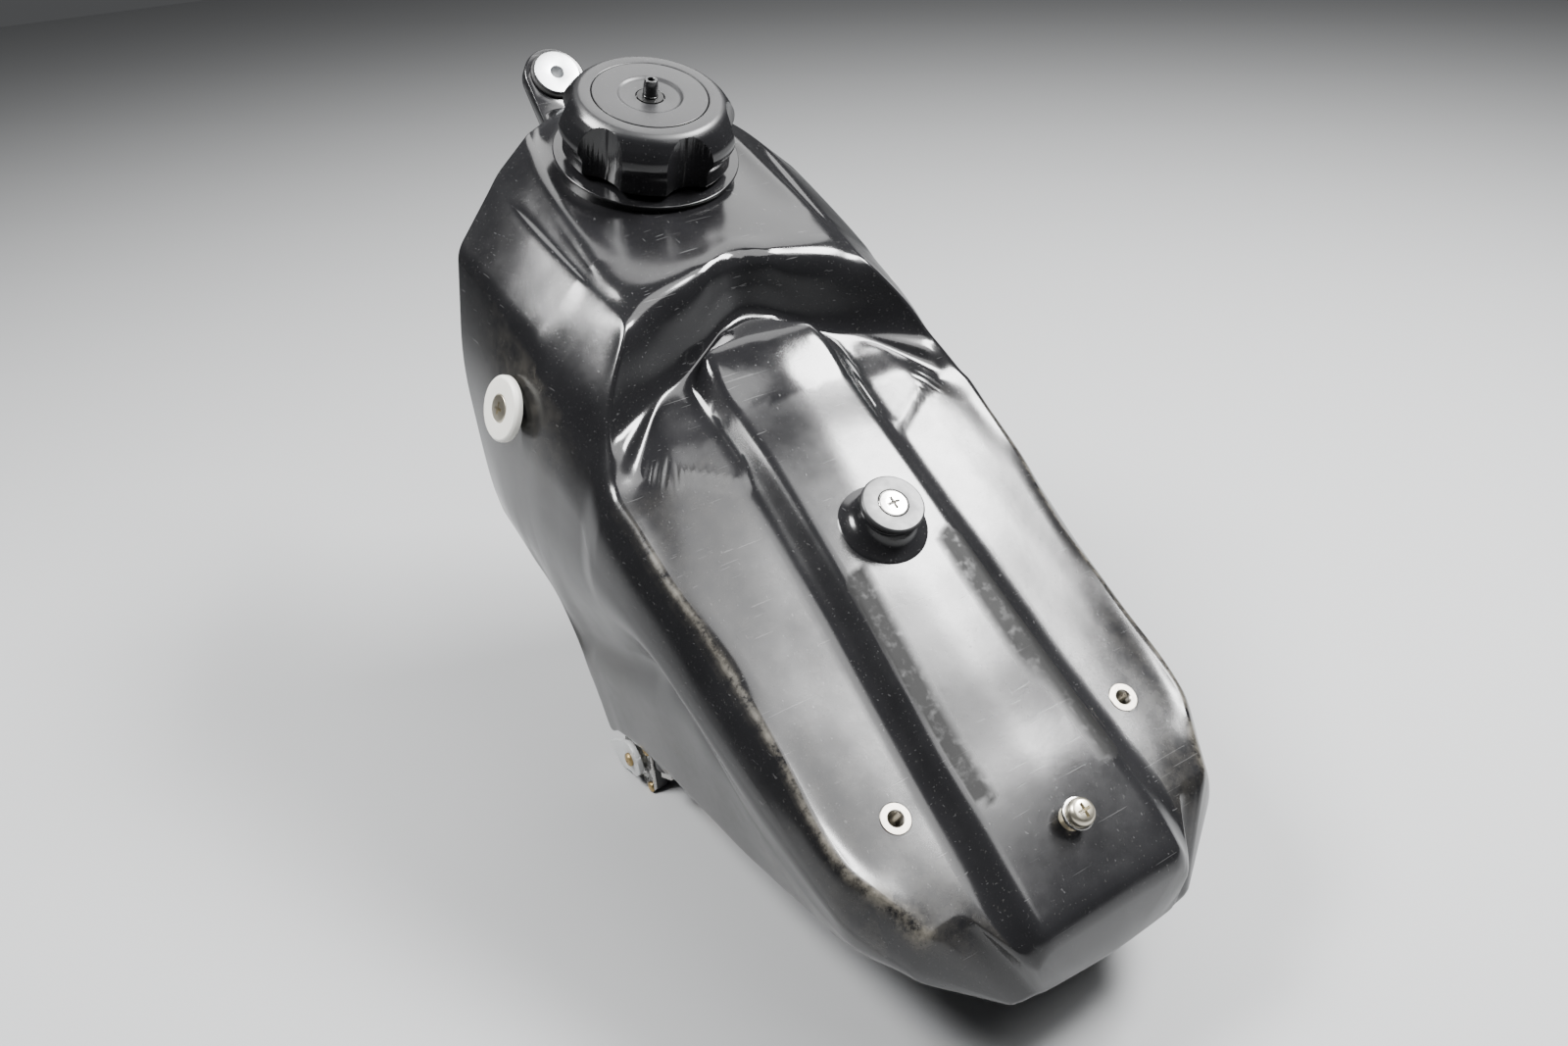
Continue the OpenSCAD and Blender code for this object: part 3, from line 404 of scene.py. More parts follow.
GROOVE = [[21, 62, 100], [35, 64, 108.8], [55, 68, 119.8], [101, 69, 147.8], [146, 72, 175],
          [180, 74, 194.5], [198, 75, 204], [203, 75, 212], [209, 72.5, 215.5], [214, 69, 221],
          [218, 66, 229],
          [221.5, 61.5, 240], [225, 57.5, 248.5], [229, 56, 252.5], [236, 56, 255], [247, 57, 258],
          [262, 58, 262.5], [281, 59, 268.5], [304, 61, 276.5], [322, 63, 283.5], [341, 61, 290]]
SHOULDER = [[21, 66, 99.8], [35, 71, 109.2], [55, 77, 119], [101, 77, 147.5], [146, 80, 174.5],
            [180, 82, 193.5], [195, 81.5, 202.5], [202, 79, 211], [207, 77.5, 215], [212, 75, 222],
            [216, 71.5, 231], [220, 66, 241], [225, 60, 250], [230, 58.5, 252.5], [240, 59.5, 255.5],
            [255, 61, 260], [275, 63, 266.5], [300, 65.5, 275], [320, 67, 281], [337, 68, 284]]
CREASE = [[22, 68.5, 98.5], [35, 74, 108.8], [50, 81.5, 117.5], [66, 83.2, 126], [83, 82, 136.3],
          [100, 81.7, 146.5], [119, 81.9, 156.5], [137, 83.4, 168], [155, 86.2, 179], [174, 86.6, 190.5],
          [190, 88, 199.5], [197, 87, 203.5], [203, 83, 211.5], [210, 79.3, 219.5], [218, 80.5, 225],
          [230, 82.4, 229.8], [252, 84.5, 237.8], [275, 86.2, 246.4], [300, 87.7, 254.8], [329, 89.4, 264]]
FLANK = [[22, 71, 93], [35, 77.5, 102], [50, 85, 111], [66, 87, 119.5], [83, 87, 129], [100, 88, 138],
         [119, 89.5, 148], [137, 91, 158], [155, 93.5, 167], [174, 95.5, 176], [197, 97, 187], [210, 93, 200],
         [230, 93.5, 207], [252, 96, 211], [268, 97, 211], [290, 98.5, 213], [322, 99.5, 216]]
WIDEST = [[22, 73, 85], [50, 88, 101], [83, 92, 118], [119, 95, 134], [143, 97, 144], [170, 99.5, 153],
          [200, 101, 156], [250, 101.5, 152], [290, 101.5, 152], [314, 100, 160]]
TUCK = [[22, 71, 79], [50, 85, 89], [100, 89.5, 108], [135, 90.5, 130], [155, 88, 136], [175, 86, 127],
        [201, 86, 115], [220, 86, 107], [241, 86, 99], [258, 87, 92], [266, 90, 104], [274, 93, 118],
        [284, 96, 128], [314, 97, 140]]
BULGE = [[24, 68, 75], [50, 83, 82], [90, 88, 96], [118, 90, 113], [135, 91, 121], [151, 91, 124],
         [175, 90.5, 114], [201, 90, 104], [220, 90, 97], [241, 89.5, 88], [255, 89, 80], [262, 89, 88],
         [270, 91, 108], [280, 94, 122], [314, 96, 138]]
BOTTOM_OUT = [[27, 63, 76], [36, 70, 71], [50, 76, 70], [61, 80, 70.5], [100, 82, 65], [118, 83, 63],
              [150, 84, 61], [185, 84.5, 58.5], [205, 84.5, 55.5], [222, 84.5, 50], [232, 84.5, 46.5],
              [240, 84, 42.5], [250, 83.5, 36], [256, 83.5, 50], [263, 86, 95], [275, 90, 114],
              [287, 92, 124],
              [314, 93, 136]]
LIP_IN = [[24, 55, 74.5], [36, 61, 70.5], [50, 68, 70], [61, 71, 70.5], [100, 74, 65], [118, 76, 63],
          [150, 79, 61], [182, 81.5, 59], [190, 81.5, 54], [194, 81.5, 50], [248, 81, 50], [252, 80.5, 50.5],
          [256, 80, 56], [263, 80, 95], [275, 82, 114], [287, 84, 124], [314, 85, 136]]
BOTTOM_IN = [[4, 43.5, 64.5], [16, 43, 66.5], [50, 40, 70], [61, 39, 70.5], [100, 38, 65], [150, 37, 61],
             [182, 37, 59], [190, 37, 54], [194, 37, 50], [248, 37, 50], [252, 37, 50.5], [256, 38, 56],
             [263, 40, 95], [275, 43, 110], [287, 47, 120], [314, 54, 134]]
TUNNEL = [[2, 39, 64], [16, 34, 66.5], [45, 27, 76], [100, 27, 91], [150, 27.5, 105], [200, 28, 119],
          [250, 30, 135], [290, 34, 155], [314, 40, 178]]
ROOF = [[0, 0, 63.5], [16, 0, 66], [45, 0, 80], [100, 0, 97], [150, 0, 111], [200, 0, 126], [250, 0, 143],
        [290, 0, 165], [330, 0, 202], [352, 0, 240]]
LINES = [CROWN, SPINE_EDGE, SPINE_FOOT, INNER_RIM, GROOVE, SHOULDER, CREASE, FLANK, WIDEST, TUCK, BULGE,
         BOTTOM_OUT, LIP_IN, BOTTOM_IN, TUNNEL, ROOF]
ROUND = [6, 3.6, 5, 5, 4.5, 4, 5, 16, 26, 7, 9, 5, 1.2, 5, 9, 0]
FIRST_TUNNEL = 13
LOW_FOOT, LOW_TOP, TAIL_SWEEP, FRONT_SWEEP, END = 200.0, 235.0, 40.0, 260.0, 350.0
CLIFF = [[233, 239.5], [231, 236.2], [224, 231], [219, 228.3], [199, 229], [198, 229], [197, 218]]
END_ROUND = 4.0
STEPS = 6


def curve(table, y):
    """Monotone cubic through a line's points."""
    t = np.asarray(table, float)
    yy = np.clip(y, t[0, 0], t[-1, 0])
    i = np.clip(np.searchsorted(t[:, 0], yy, side="right") - 1, 0, len(t) - 2)
    h = np.diff(t[:, 0])
    slopes = np.diff(t[:, 1:], axis=0) / h[:, None]
    a, b = slopes[:-1], slopes[1:]
    same = a * b > 0
    mid = np.where(same, 2 * a * b / np.where(same, a + b, 1), 0)
    m = np.vstack([slopes[:1], mid, slopes[-1:]])
    u = ((yy - t[i, 0]) / h[i])[:, None]
    hh = h[i][:, None]
    p0, p1, m0, m1 = t[i, 1:], t[i + 1, 1:], m[i] * hh, m[i + 1] * hh
    return ((2 * u**3 - 3 * u**2 + 1) * p0 + (u**3 - 2 * u**2 + u) * m0
            + (3 * u**2 - 2 * u**3) * p1 + (u**3 - u**2) * m1)


def line_y(i, s):
    p = LINES[i]
    foot, top = CLIFF[i] if i < len(CLIFF) else (LOW_FOOT, LOW_TOP)
    return np.interp(s, [0, TAIL_SWEEP, LOW_FOOT, LOW_TOP, FRONT_SWEEP, END],
                     [p[0][0], TAIL_SWEEP, foot, top, FRONT_SWEEP, p[-1][0]])


def key_lines(s):
    """Array [station, line, xyz] in design millimetres."""
    out = []
    for i in range(len(LINES)):
        y = line_y(i, s)
        xz = curve(LINES[i], y)
        out.append(np.stack([xz[:, 0], y, xz[:, 1]], axis=1))
    return np.stack(out, axis=1)


def section_points(v):
    """Rounds the key points of every station into one smooth half section."""
    cols, owner = [], []

    def reach(i, j, r):
        d = v[:, j] - v[:, i]
        n = np.linalg.norm(d, axis=1, keepdims=True)
        return v[:, i] + d * np.minimum(0.45, r / np.maximum(n, 0.01))

    last = len(LINES) - 1
    crown_b = reach(0, 1, ROUND[0])
    mirror = crown_b * np.array([-1, 1, 1])
    for t in np.linspace(0.5, 1, STEPS // 2 + 1):
        cols.append((1 - t) ** 2 * mirror + 2 * t * (1 - t) * v[:, 0] + t * t * crown_b)
        owner.append(0)
    for i in range(1, last):
        a, b = reach(i, i - 1, ROUND[i]), reach(i, i + 1, ROUND[i])
        prev = cols[-1]
        for t in (0.25, 0.5, 0.75):
            cols.append(prev + (a - prev) * t)
            owner.append(i - 0.5)
        for t in np.linspace(0, 1, STEPS + 1):
            cols.append((1 - t) ** 2 * a + 2 * t * (1 - t) * v[:, i] + t * t * b)
            owner.append(i)
    prev = cols[-1]
    for t in (0.33, 0.67):
        cols.append(prev + (v[:, last] - prev) * t)
        owner.append(last - 0.5)
    cols.append(v[:, last])
    owner.append(last)
    return np.stack(cols, axis=1), np.array(owner)


def stations():
    parts = [np.linspace(0, 4, 9)[:-1], np.arange(4, 40, 1.3), np.arange(40, 180, 2.0),
             np.arange(180, 197, 1.0),
             np.arange(197, 262, 0.7), np.arange(262, 290, 1.0), np.arange(290, 346, 1.8),
             np.linspace(346, 350, 9)]
    return np.concatenate(parts)


def line_distance(p, a, b):
    """Distance in plan from points to a segment, and where along it the nearest point lies."""
    a, b = np.array(a, float), np.array(b, float)
    d = b - a
    t = np.clip(((p - a) @ d) / (d @ d), 0, 1)
    return np.linalg.norm(p - (a + t[..., None] * d), axis=-1), t


def smooth01(x):
    x = np.clip(x, 0, 1)
    return x * x * (3 - 2 * x)


def build_tank():
    s = stations()
    v = key_lines(s)
    half, owner = section_points(v)
    n = half.shape[1]
    # Rounded ends: the skin is pulled toward its tunnel side over the last few millimetres.
    split = int(np.searchsorted(owner, FIRST_TUNNEL))
    m = split - 1
    inner = n - 1 - m
    partner = [n - 1 - round(j * inner / m) if j <= m else round((n - 1 - j) * m / inner) for j in range(n)]
    for k, st in enumerate(s):
        d = min(st, END - st)
        if d < END_ROUND:
            r = END_ROUND - math.sqrt(END_ROUND**2 - (END_ROUND - d) ** 2)
            q = half[k][partner]
            gap = q - half[k]
            g = np.linalg.norm(gap, axis=1, keepdims=True)
            half[k] = half[k] + gap * r / np.maximum(g, 3 * r)
    # Shallow step where each lobe meets the floor of the recess.
    plan = half[:, :, :2]
    top = (owner >= 2) & (owner <= 6)
    dist, along = line_distance(plan, (36, 173.5), (79, 198.5))
    d = np.array([79 - 36, 198.5 - 173.5], float)
    side = (plan[..., 0] - 36) * -d[1] + (plan[..., 1] - 173.5) * d[0]
    ahead = smooth01(0.5 + np.sign(side) * np.minimum(dist, 1.6) / 3.2)
    fade = (smooth01((along - 0.0) / 0.08) * smooth01((212 - plan[..., 1]) / 14)
            * smooth01((1.0 - along) / 0.05 + 0.3))
    lift = np.where(top[None, :] & (plan[..., 0] > 34) & (plan[..., 0] < 84), 0.9 * ahead * fade, 0)
    ridge = np.where(top[None, :] & (plan[..., 0] > 35) & (plan[..., 0] < 80),
                     0.55 * np.exp(-((dist - 1.2) / 1.1) ** 2) * (side > 0) * fade, 0)
    half[:, :, 2] += lift + ridge
    # Softens the bends of the recess's wall.
    soft_cols = np.where((owner >= 1.5) & (owner <= 7))[0]
    inner_cols = soft_cols[1:-1]
    for _ in range(18):
        weight = (smooth01((s - 193) / 8) * smooth01((262 - s) / 8))[1:-1, None, None]
        along_y = (half[:-2] + 2 * half[1:-1] + half[2:]) / 4
        half[1:-1, inner_cols] += weight * (along_y - half[1:-1])[:, inner_cols]
        across = (half[:, inner_cols - 1] + 2 * half[:, inner_cols] + half[:, inner_cols + 1]) / 4
        half[1:-1, inner_cols] += weight * (across - half[:, inner_cols])[1:-1]
    rows = len(s)
    left = half[:, -2:0:-1] * np.array([-1, 1, 1])
    ring = np.concatenate([half, left], axis=1)
    count = ring.shape[1]
    verts = ring.reshape(-1, 3)
    faces = []
    for k in range(rows - 1):
        a = k * count
        for j in range(count):
            b = (j + 1) % count
            faces.append((a + j, a + count + j, a + count + b, a + b))

    def side_index(j, right):
        return j if right or j in (0, n - 1) else 2 * n - 2 - j

    for base, flip in ((0, False), ((rows - 1) * count, True)):
        for right in (True, False):
            for j in range(m):
                a, b = base + side_index(j, right), base + side_index(j + 1, right)
                c, e = base + side_index(partner[j], right), base + side_index(partner[j + 1], right)
                turn = (not right) if flip else right
                quad = [a, b, e, c] if c != e else [a, b, c]
                faces.append(tuple(quad if turn else quad[::-1]))
    own = np.concatenate([owner, owner[-2:0:-1]])
    own = np.tile(own, rows)
    p = verts.copy()
    # Wear: dusty scuffs along the outer creases of the lobes and the rear corners.
    crease = np.array(CREASE)
    x = np.abs(p[:, 0])
    cx = np.interp(p[:, 1], crease[:, 0], crease[:, 1])
    cz = np.interp(p[:, 1], crease[:, 0], crease[:, 2])
    near = np.hypot(x - cx, p[:, 2] - cz)
    fade_y = smooth01((192 - p[:, 1]) / 30) * smooth01((p[:, 1] - 18) / 6)
    wear = np.exp(-((near / (1.7 + 2.6 * smooth01((70 - p[:, 1]) / 40))) ** 2)) * fade_y
    wear *= np.where(p[:, 0] < 0, 1.0, 0.75)
    lobe = (own >= 2.5) & (own <= 6) & (p[:, 1] < 190)
    wear = np.maximum(wear, np.where(lobe, 0.05 + 0.05 * smooth01((110 - p[:, 1]) / 90), 0.0))
    wear = np.maximum(
        wear, 0.22 * np.exp(-(((p[:, 1] - 262) / 30) ** 2 + ((p[:, 2] - 215) / 40) ** 2)) * (x > 88))
    wear = np.maximum(wear, 0.16 * np.exp(-(((p[:, 2] - 88) / 26) ** 2)) * (x > 78))
    # Grey residue of two tapes on the spine.
    film = np.zeros(len(p))
    for (x0, y0), (x1, y1), w in (((-22.5, 119.5), (-23.5, 46), 6.2), ((23.0, 121), (31.0, 42), 6.4)):
        dd, _ = line_distance(p[:, :2], (x0, y0), (x1, y1))
        on = (own <= 1.5)
        film = np.maximum(film, np.where(on, smooth01((w - dd) / 1.2), 0))
    gloss = np.exp(-(((x - 0) / 60) ** 2)) * ((p[:, 1] > 196) & (p[:, 1] < 242) & (own <= 6))
    return verts, faces, wear, film, gloss.astype(float)


def set_attribute(ob, name, values):
    a = ob.data.attributes.new(name, "FLOAT", "POINT")
    a.data.foreach_set("value", np.asarray(values, np.float32))


# ---------------------------------------------------------------- pieces


def finish_piece(ob, matrices, body, nodes, mat, bevel_mm=None, angle=32):
    """Bevels a piece drawn in local millimetres, copies it to its places and hands it to the frame."""
    if bevel_mm:
        bevel(ob, bevel_mm, 30, 3)
    bm, out = bmesh.new(), bmesh.new()
    for m in matrices:
        me = ob.data.copy()
        me.transform(Matrix.Scale(MM, 4) @ m)
        if m.determinant() < 0:
            me.flip_normals()
        out.from_mesh(me)
        bpy.data.meshes.remove(me)
    me = ob.data
    out.to_mesh(me)
    out.free()
    bm.free()
    me.materials.clear()
    me.materials.append(M[mat])
    for p in me.polygons:
        p.use_smooth = True
    sharp_shading(ob, angle)
    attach(ob, body)
    if nodes:
        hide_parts(*nodes)
    return ob


def solid(name, parts):
    ob = mesh_object(name, *join(parts), None)
    fix_normals(ob)
    return ob


def cross_tool(z_top, depth, length=5.6, width=1.15):
    """Tapered cross recess, opening upward."""
    def plus(r, w):
        q = [(r, -w), (r, w), (w, w), (w, r), (-w, r), (-w, w), (-r, w), (-r, -w), (-w, -w), (-w, -r),
             (w, -r), (w, -w)]
        return q
    a, b = plus(length / 2 + 0.2, width / 2 + 0.1), plus(length / 4, width / 3)
    verts = [(x, y, z_top) for x, y in a] + [(x, y, z_top - depth) for x, y in b]
    faces = [tuple(range(12)), tuple(range(23, 11, -1))] + [
        (i, (i + 1) % 12, 12 + (i + 1) % 12, 12 + i) for i in range(12)]
    return verts, faces


def countersunk(name, top, length, mat, matrices, nodes, body="tank"):
    profile = soften([(0, -length), (2.2, -length), (2.5, -length + 0.3), (2.5, -3.8), (5.95, -0.5),
                      (5.95, 0.02),
                      (5.4, 0.22), (3.2, 0.42), (0, 0.5)], 0.35)
    v, f = lathe([(r, z + top) for r, z in profile], 96)
    ob = solid(name, [(v, f)])
    cut(ob, *cross_tool(top + 0.7, 2.6))
    return finish_piece(ob, matrices, body, nodes, mat, None, 28)


def slab_with_holes(outline, z0, z1, holes):
    """Plate with round holes, as a solid cut by cylinders."""
    ob = solid("slab", [prism(outline, z0, z1)])
    for x, y, r in holes:
        cut(ob, *prism(circle(r, 48, x, y), z0 - 1, z1 + 1))
    return ob


def rounded_square(half, r, seg=8):
    out = []
    for k, (sx, sy) in enumerate(((1, 1), (-1, 1), (-1, -1), (1, -1))):
        for t in np.linspace(0, math.pi / 2, seg):
            a = t + k * math.pi / 2
            out.append((sx * (half - r) + r * math.cos(a), sy * (half - r) + r * math.sin(a)))
    return out


# Shell of the tank, with its lug, neck ring and hook pedestal.
t_verts, t_faces, wear, film, gloss = build_tank()
tank = mesh_object("tank_shell_skin", (t_verts - np.array([0, LUG_Y, LUG_Z])) * MM, t_faces,
                   M["tank_plastic"])
set_attribute(tank, "wear", wear)
set_attribute(tank, "film", film)
set_attribute(tank, "gloss", gloss)
bm = bmesh.new()
bm.from_mesh(tank.data)
bmesh.ops.recalc_face_normals(bm, faces=bm.faces)
bm.to_mesh(tank.data)
bm.free()
pockets = []
for m in SEAT:
    v, f = lathe([(0, -14), (4.62, -14), (4.62, -1.25), (6.05, -1.25), (6.05, 9), (0, 9)], 64)
    pockets.append((scaled(v, m), f))
pockets.append((scaled(prism(circle(4.6, 48), -14, 4)[0], TAIL), prism(circle(4.6, 48), 0, 1)[1]))
cut(tank, *join(pockets))
tank.data.materials.clear()
tank.data.materials.append(M["tank_plastic"])
for p in tank.data.polygons:
    p.use_smooth = True
sharp_shading(tank, 38)
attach(tank, "tank")
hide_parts("tank_shell")

# Lug: a flat eye with an arm that grows out of the nose.
eye = []
for a in np.linspace(0, math.pi, 40):
    eye.append((15.4 * math.cos(a), 15.4 * math.sin(a)))
eye += [(-15.4, -10), (-15.4, -29.9), (15.4, -29.9), (15.4, -10)]
arm = solid("lug_eye", [prism(eye, -3.95, 3.95)])
cut(arm, *prism(circle(10.05, 72), -9, 9))
finish_piece(arm, [LUG], "tank", ["tank_shell"], "tank_plastic", 1.0)
root_yz = [(366, 300), (383, 301.5), (391, 299), (398, 296), (401, 291), (389, 277), (372, 258), (358, 262)]
root = soften([np.array(q, float) for q in root_yz], 2.5, 4, True)
v, f = prism([(q[0], q[1]) for q in root], -13.4, 13.4)
v = [(z, y, x) for y, x, z in v]
gusset = solid("lug_gusset", [(v, f)])
finish_piece(gusset, [spot(0, 0, 0)], "tank", ["tank_shell"], "tank_plastic", 1.2)

# Ring and neck under the cap.
neck_profile = soften([(23, -11.9), (40.5, -11.9), (40.6, -1.3), (41.75, -1.2), (41.75, 0), (27.5, 0),
                       (27.4, 18), (23, 18)], 0.5, 4, True)
neck = solid("neck_ring", [lathe(neck_profile, 160, True)])
finish_piece(neck, [NECK], "tank", ["tank_shell"], "tank_plastic")

# Pedestal of the seat hook.
ped = soften([(0, -5.9), (19.1, -5.9), (19.1, -0.6), (16.2, 0.6), (13.6, 2), (11.8, 4), (10.6, 6.5),
              (10.4, 7.75), (0, 7.75)], 1.4, 5)
pedestal = solid("hook_pedestal", [lathe(ped, 128)])
finish_piece(pedestal, [HOOK], "tank", ["tank_shell"], "tank_plastic")

# Front grommet and collar.
grommet = soften([(5.02, -6), (11.6, -6), (12.55, -5.4), (12.55, -4.2), (10.05, -3.95), (10.05, 3.95),
                  (12.55, 4.2),
                  (12.55, 5.4), (11.6, 6), (5.02, 6)], 0.6, 4, True)
finish_piece(solid("grommet_rubber", [lathe(grommet, 96, True)]), [LUG], "tank", ["lug_grommet"], "rubber")
collar = soften([(3.25, -6), (5, -6), (5, 6), (11.2, 6), (11.2, 7.6), (3.25, 7.6)], 0.3, 4, True)
finish_piece(solid("lug_collar_fine", [lathe(collar, 128, True)]), [LUG], "tank", ["lug_collar"], "aluminium")

# Seat hook collar and its screw.
hc = soften([(0, 7.8), (9, 7.8), (9, 10.8), (12.4, 11), (12.85, 11.5), (12.85, 13.4), (12.3, 14), (6.25, 14),
             (6.1, 13.6), (3.2, 10.6), (3.2, 8.6), (0, 8.6)], 0.35, 4)
finish_piece(solid("hook_collar_fine", [lathe(hc, 128)]), [HOOK], "tank", ["hook_collar"], "collar_dark")
countersunk("hook_screw_fine", 14, 15, "steel", [HOOK], ["hook_screw"])

# Shroud collars and screws on both sides.
sc = soften([(0, 0.02), (9.5, 0.02), (9.5, 2.4), (14.25, 2.4), (14.25, 4.8), (13.1, 6), (6.3, 6),
             (6.1, 5.6), (3.2, 2.6),
             (3.2, 0.8), (0, 0.8)], 0.5, 4)
finish_piece(solid("shroud_collars_fine", [lathe(sc, 128)]), SIDES, "tank", ["shroud_collars"], "nylon")
countersunk("shroud_screws_fine", 6, 16, "zinc", SIDES, ["shroud_screws"])

# Seat nuts: flanged inserts with an open thread.
sn = [(2.5, -14), (4.6, -14), (4.6, -1.2), (5.9, -1.2), (5.9, -0.25), (5.65, 0), (3.3, 0), (2.55, -0.75)]
thread = [(2.5 + (0.32 if k % 2 else 0.0), -0.9 - 0.5 * k) for k in range(26)]
sn = sn[1:] + thread + [(2.5, -14)]
finish_piece(solid("seat_nuts_fine", [lathe(sn, 96, True)]), SEAT, "tank", ["seat_nuts"], "steel")
bpy.data.objects["seat_nuts_fine"].data.materials[0] = simple("insert_metal", (0.34, 0.32, 0.28),
    0.30, 1.0, 0.3, 500, 0.2)

# Tail screw and washer.
pan = soften([(0, -9), (2.5, -9), (2.5, 6.6), (5.25, 6.6), (5.25, 9.2), (4.1, 10.7), (2.2, 11.05),
              (0, 11.1)], 0.8, 5)
ts = solid("tail_screw_fine", [lathe(pan, 96)])
cut(ts, *cross_tool(11.4, 2.9))
finish_piece(ts, [TAIL], "tank", ["tail_screw"], "zinc", None, 28)
tw = soften([(2.5, 5), (6, 5), (6, 6.6), (2.5, 6.6)], 0.3, 3, True)
finish_piece(solid("tail_washer_fine", [lathe(tw, 96, True)]), [TAIL], "tank", ["tail_washer"], "steel")

# Filler cap: turned body, six finger scallops cut into its side.
cap_profile = [(30.5, 2.5), (37.5, 2.5), (38, 3.1), (38, 9), (38.6, 11.2), (39.8, 13), (39.8, 16), (39, 19),
               (37, 22.5),
               (34.6, 25.6), (32.4, 27.5), (31.0, 28.25), (29.5, 28.38), (25.5, 28.4), (25.5, 26.4),
               (3.5, 26.4), (3.5, 20.8), (28.4, 20.8),
               (28.4, 2.5)]
cap_soft = soften(cap_profile, 0.9, 4)
cap = solid("filler_cap_fine", [lathe(cap_soft[:-1] + [(28.4, 2.5)], 240, True)])
tools = []
for k in range(6):
    a = math.radians(270 + 60 * k)
    tools.append(prism(circle(15, 96, 48 * math.cos(a), 48 * math.sin(a)), 1.5, 29.5))
cut(cap, *join(tools))
co = np.array([v.co for v in cap.data.vertices])
bevel(cap, 0.7, 24, 4)
co = np.array([v.co for v in cap.data.vertices])
set_attribute(cap, "film", smooth01((co[:, 2] - 26.2) / 1.6))
finish_piece(cap, [NECK], "cap", ["filler_cap"], "cap_plastic", None, 30)

# Disc in the top of the cap: a flat ring round a shallow dish.
disc = [(6.4, 26.4), (25.2, 26.4), (25.2, 28.25), (25.0, 28.4), (15.1, 28.4), (14.4, 28.3), (13.4, 27.75),
        (12.6, 27.5), (6.4, 27.5)]
dk = solid("cap_disc_fine", [lathe(soften(disc, 0.25, 3, True), 192, True)])
set_attribute(dk, "film", np.ones(len(dk.data.vertices)))
finish_piece(dk, [NECK], "cap", ["cap_disc"], "cap_plastic")

# Breather nipple.
nip = soften([(1.5, 14), (3.35, 14), (3.4, 16.5), (8, 16.5), (8, 18.6), (3.4, 18.6), (3.4, 28.4),
              (3.2, 28.5), (3.2, 32.8),
              (2.8, 35.4), (1.5, 35.4)], 0.25, 3, True)
finish_piece(solid("vent_nipple_fine", [lathe(nip, 96, True)]), [NECK], "vent", ["vent_nipple"],
             "cap_plastic")

# Fuel cock: lever, plate and their screws on the left face.
def paddle_outline():
    pts = [(-6.7, 26), (-13.8, 12.4), (-5, -7), (-2, -9.6), (5, -8.5), (9, 0), (3.5, 12)]
    return [tuple(q) for q in soften(pts, 3.2, 6, True)]


lever = solid("lever_fine", [prism(paddle_outline(), 3.42, 5.88)])
boss = solid("lever_boss", [prism(circle(8.95, 72), 3.41, 5.89)])
bm = lever.modifiers.new("u", "BOOLEAN")
bm.operation, bm.solver, bm.object = "UNION", "EXACT", boss
apply_all(lever)
bpy.data.objects.remove(boss)
cut(lever, *prism(circle(1.6, 32), 3, 7))
finish_piece(lever, [COCK], "lever", ["cock_lever"], "lever_grey", 0.45)

ls = soften([(0, -0.5), (1.6, -0.5), (1.6, 5.9), (3.4, 5.9), (3.4, 7.2), (2.6, 7.8), (0, 7.9)], 0.4, 4)
lsc = solid("lever_screw_fine", [lathe(ls, 64)])
cut(lsc, *cross_tool(8.0, 1.4, 3.0, 0.7))
finish_piece(lsc, [COCK], "lever", ["lever_screw"], "brass", None, 28)

diag = [(16.2 * math.cos(math.radians(45 + 90 * k)),
         16.2 * math.sin(math.radians(45 + 90 * k))) for k in range(4)]
plate = slab_with_holes(rounded_square(14, 2.4), 0, 1.5, [(0, 0, 4.06)] + [(x, y, 1.6) for x, y in diag])
plate.name = "cock_plate_fine"
finish_piece(plate, [COCK], "tank", ["cock_plate"], "steel", 0.25)

ps = soften([(0, -0.5), (1.25, -0.5), (1.25, 1.5), (2.6, 1.5), (2.6, 2.4), (1.9, 2.85), (0, 2.9)], 0.3, 3)
psc = solid("plate_screws_fine", [lathe(ps, 48)])
cut(psc, *cross_tool(3.0, 1.0, 2.6, 0.5))
finish_piece(psc, [COCK @ Matrix.Translation((x, y, 0)) for x, y in diag], "tank", ["plate_screws"],
             "brass", None, 28)

# Cast body of the cock.
FLANGE = spot(-61, 205, 44) @ rot("Z", 90)
body = solid("cock_body_fine", [prism(stadium(7, 13, 24), 0, 5.98)])
for y in (-13, 13):
    cut(body, *prism(circle(3.2, 32, 0, y), -1, 8))
finish_piece(body, [FLANGE], "tank", ["cock_body"], "cock_cast", 0.8)
seal_seat = solid("cock_seal_seat", [prism(circle(9.95, 72), 0.02, 5.96)])
finish_piece(seal_seat, [FLANGE], "tank", ["cock_body"], "cock_cast", 0.8)
neck_cyl = solid("cock_neck", [prism(circle(6.55, 64), 30.05, 45)])
finish_piece(neck_cyl, [spot(-61, 205, 0)], "tank", ["cock_body"], "cock_cast", 1.0)
bridge = solid("cock_bridge", [prism(circle(5.95, 64), 0, 18)])
finish_piece(bridge, [spot(-59.5, 205, 34) @ rot("X", -90)], "tank", ["cock_body"], "cock_cast", 0.8)
barrel = solid("cock_barrel", [prism(circle(13.95, 96), -25.95, -5)])
finish_piece(barrel, [COCK], "tank", ["cock_body"], "cock_cast", 1.2)
face = solid("cock_face", [prism(rounded_square(14, 2.4), -6, -0.02)])
finish_piece(face, [COCK], "tank", ["cock_body"], "cock_cast", 0.5)
outlet = solid("cock_outlet", [prism(circle(5.95, 64), 8.05, 31.95)])
finish_piece(outlet, [spot(-61, 230, 26) @ rot("X", 90)], "tank", ["cock_body"], "cock_cast", 0.6)
pipe = soften([(2.4, 0), (3.3, 0), (3.3, 16), (3.5, 16), (3.5, 34), (3.0, 36), (2.4, 36)], 0.25, 3, True)
finish_piece(solid("outlet_pipe_fine", [lathe(pipe, 64, True)]), [spot(-61, 214, 26) @ rot("X", 90)],
             "tank", ["outlet_pipe"], "brass")

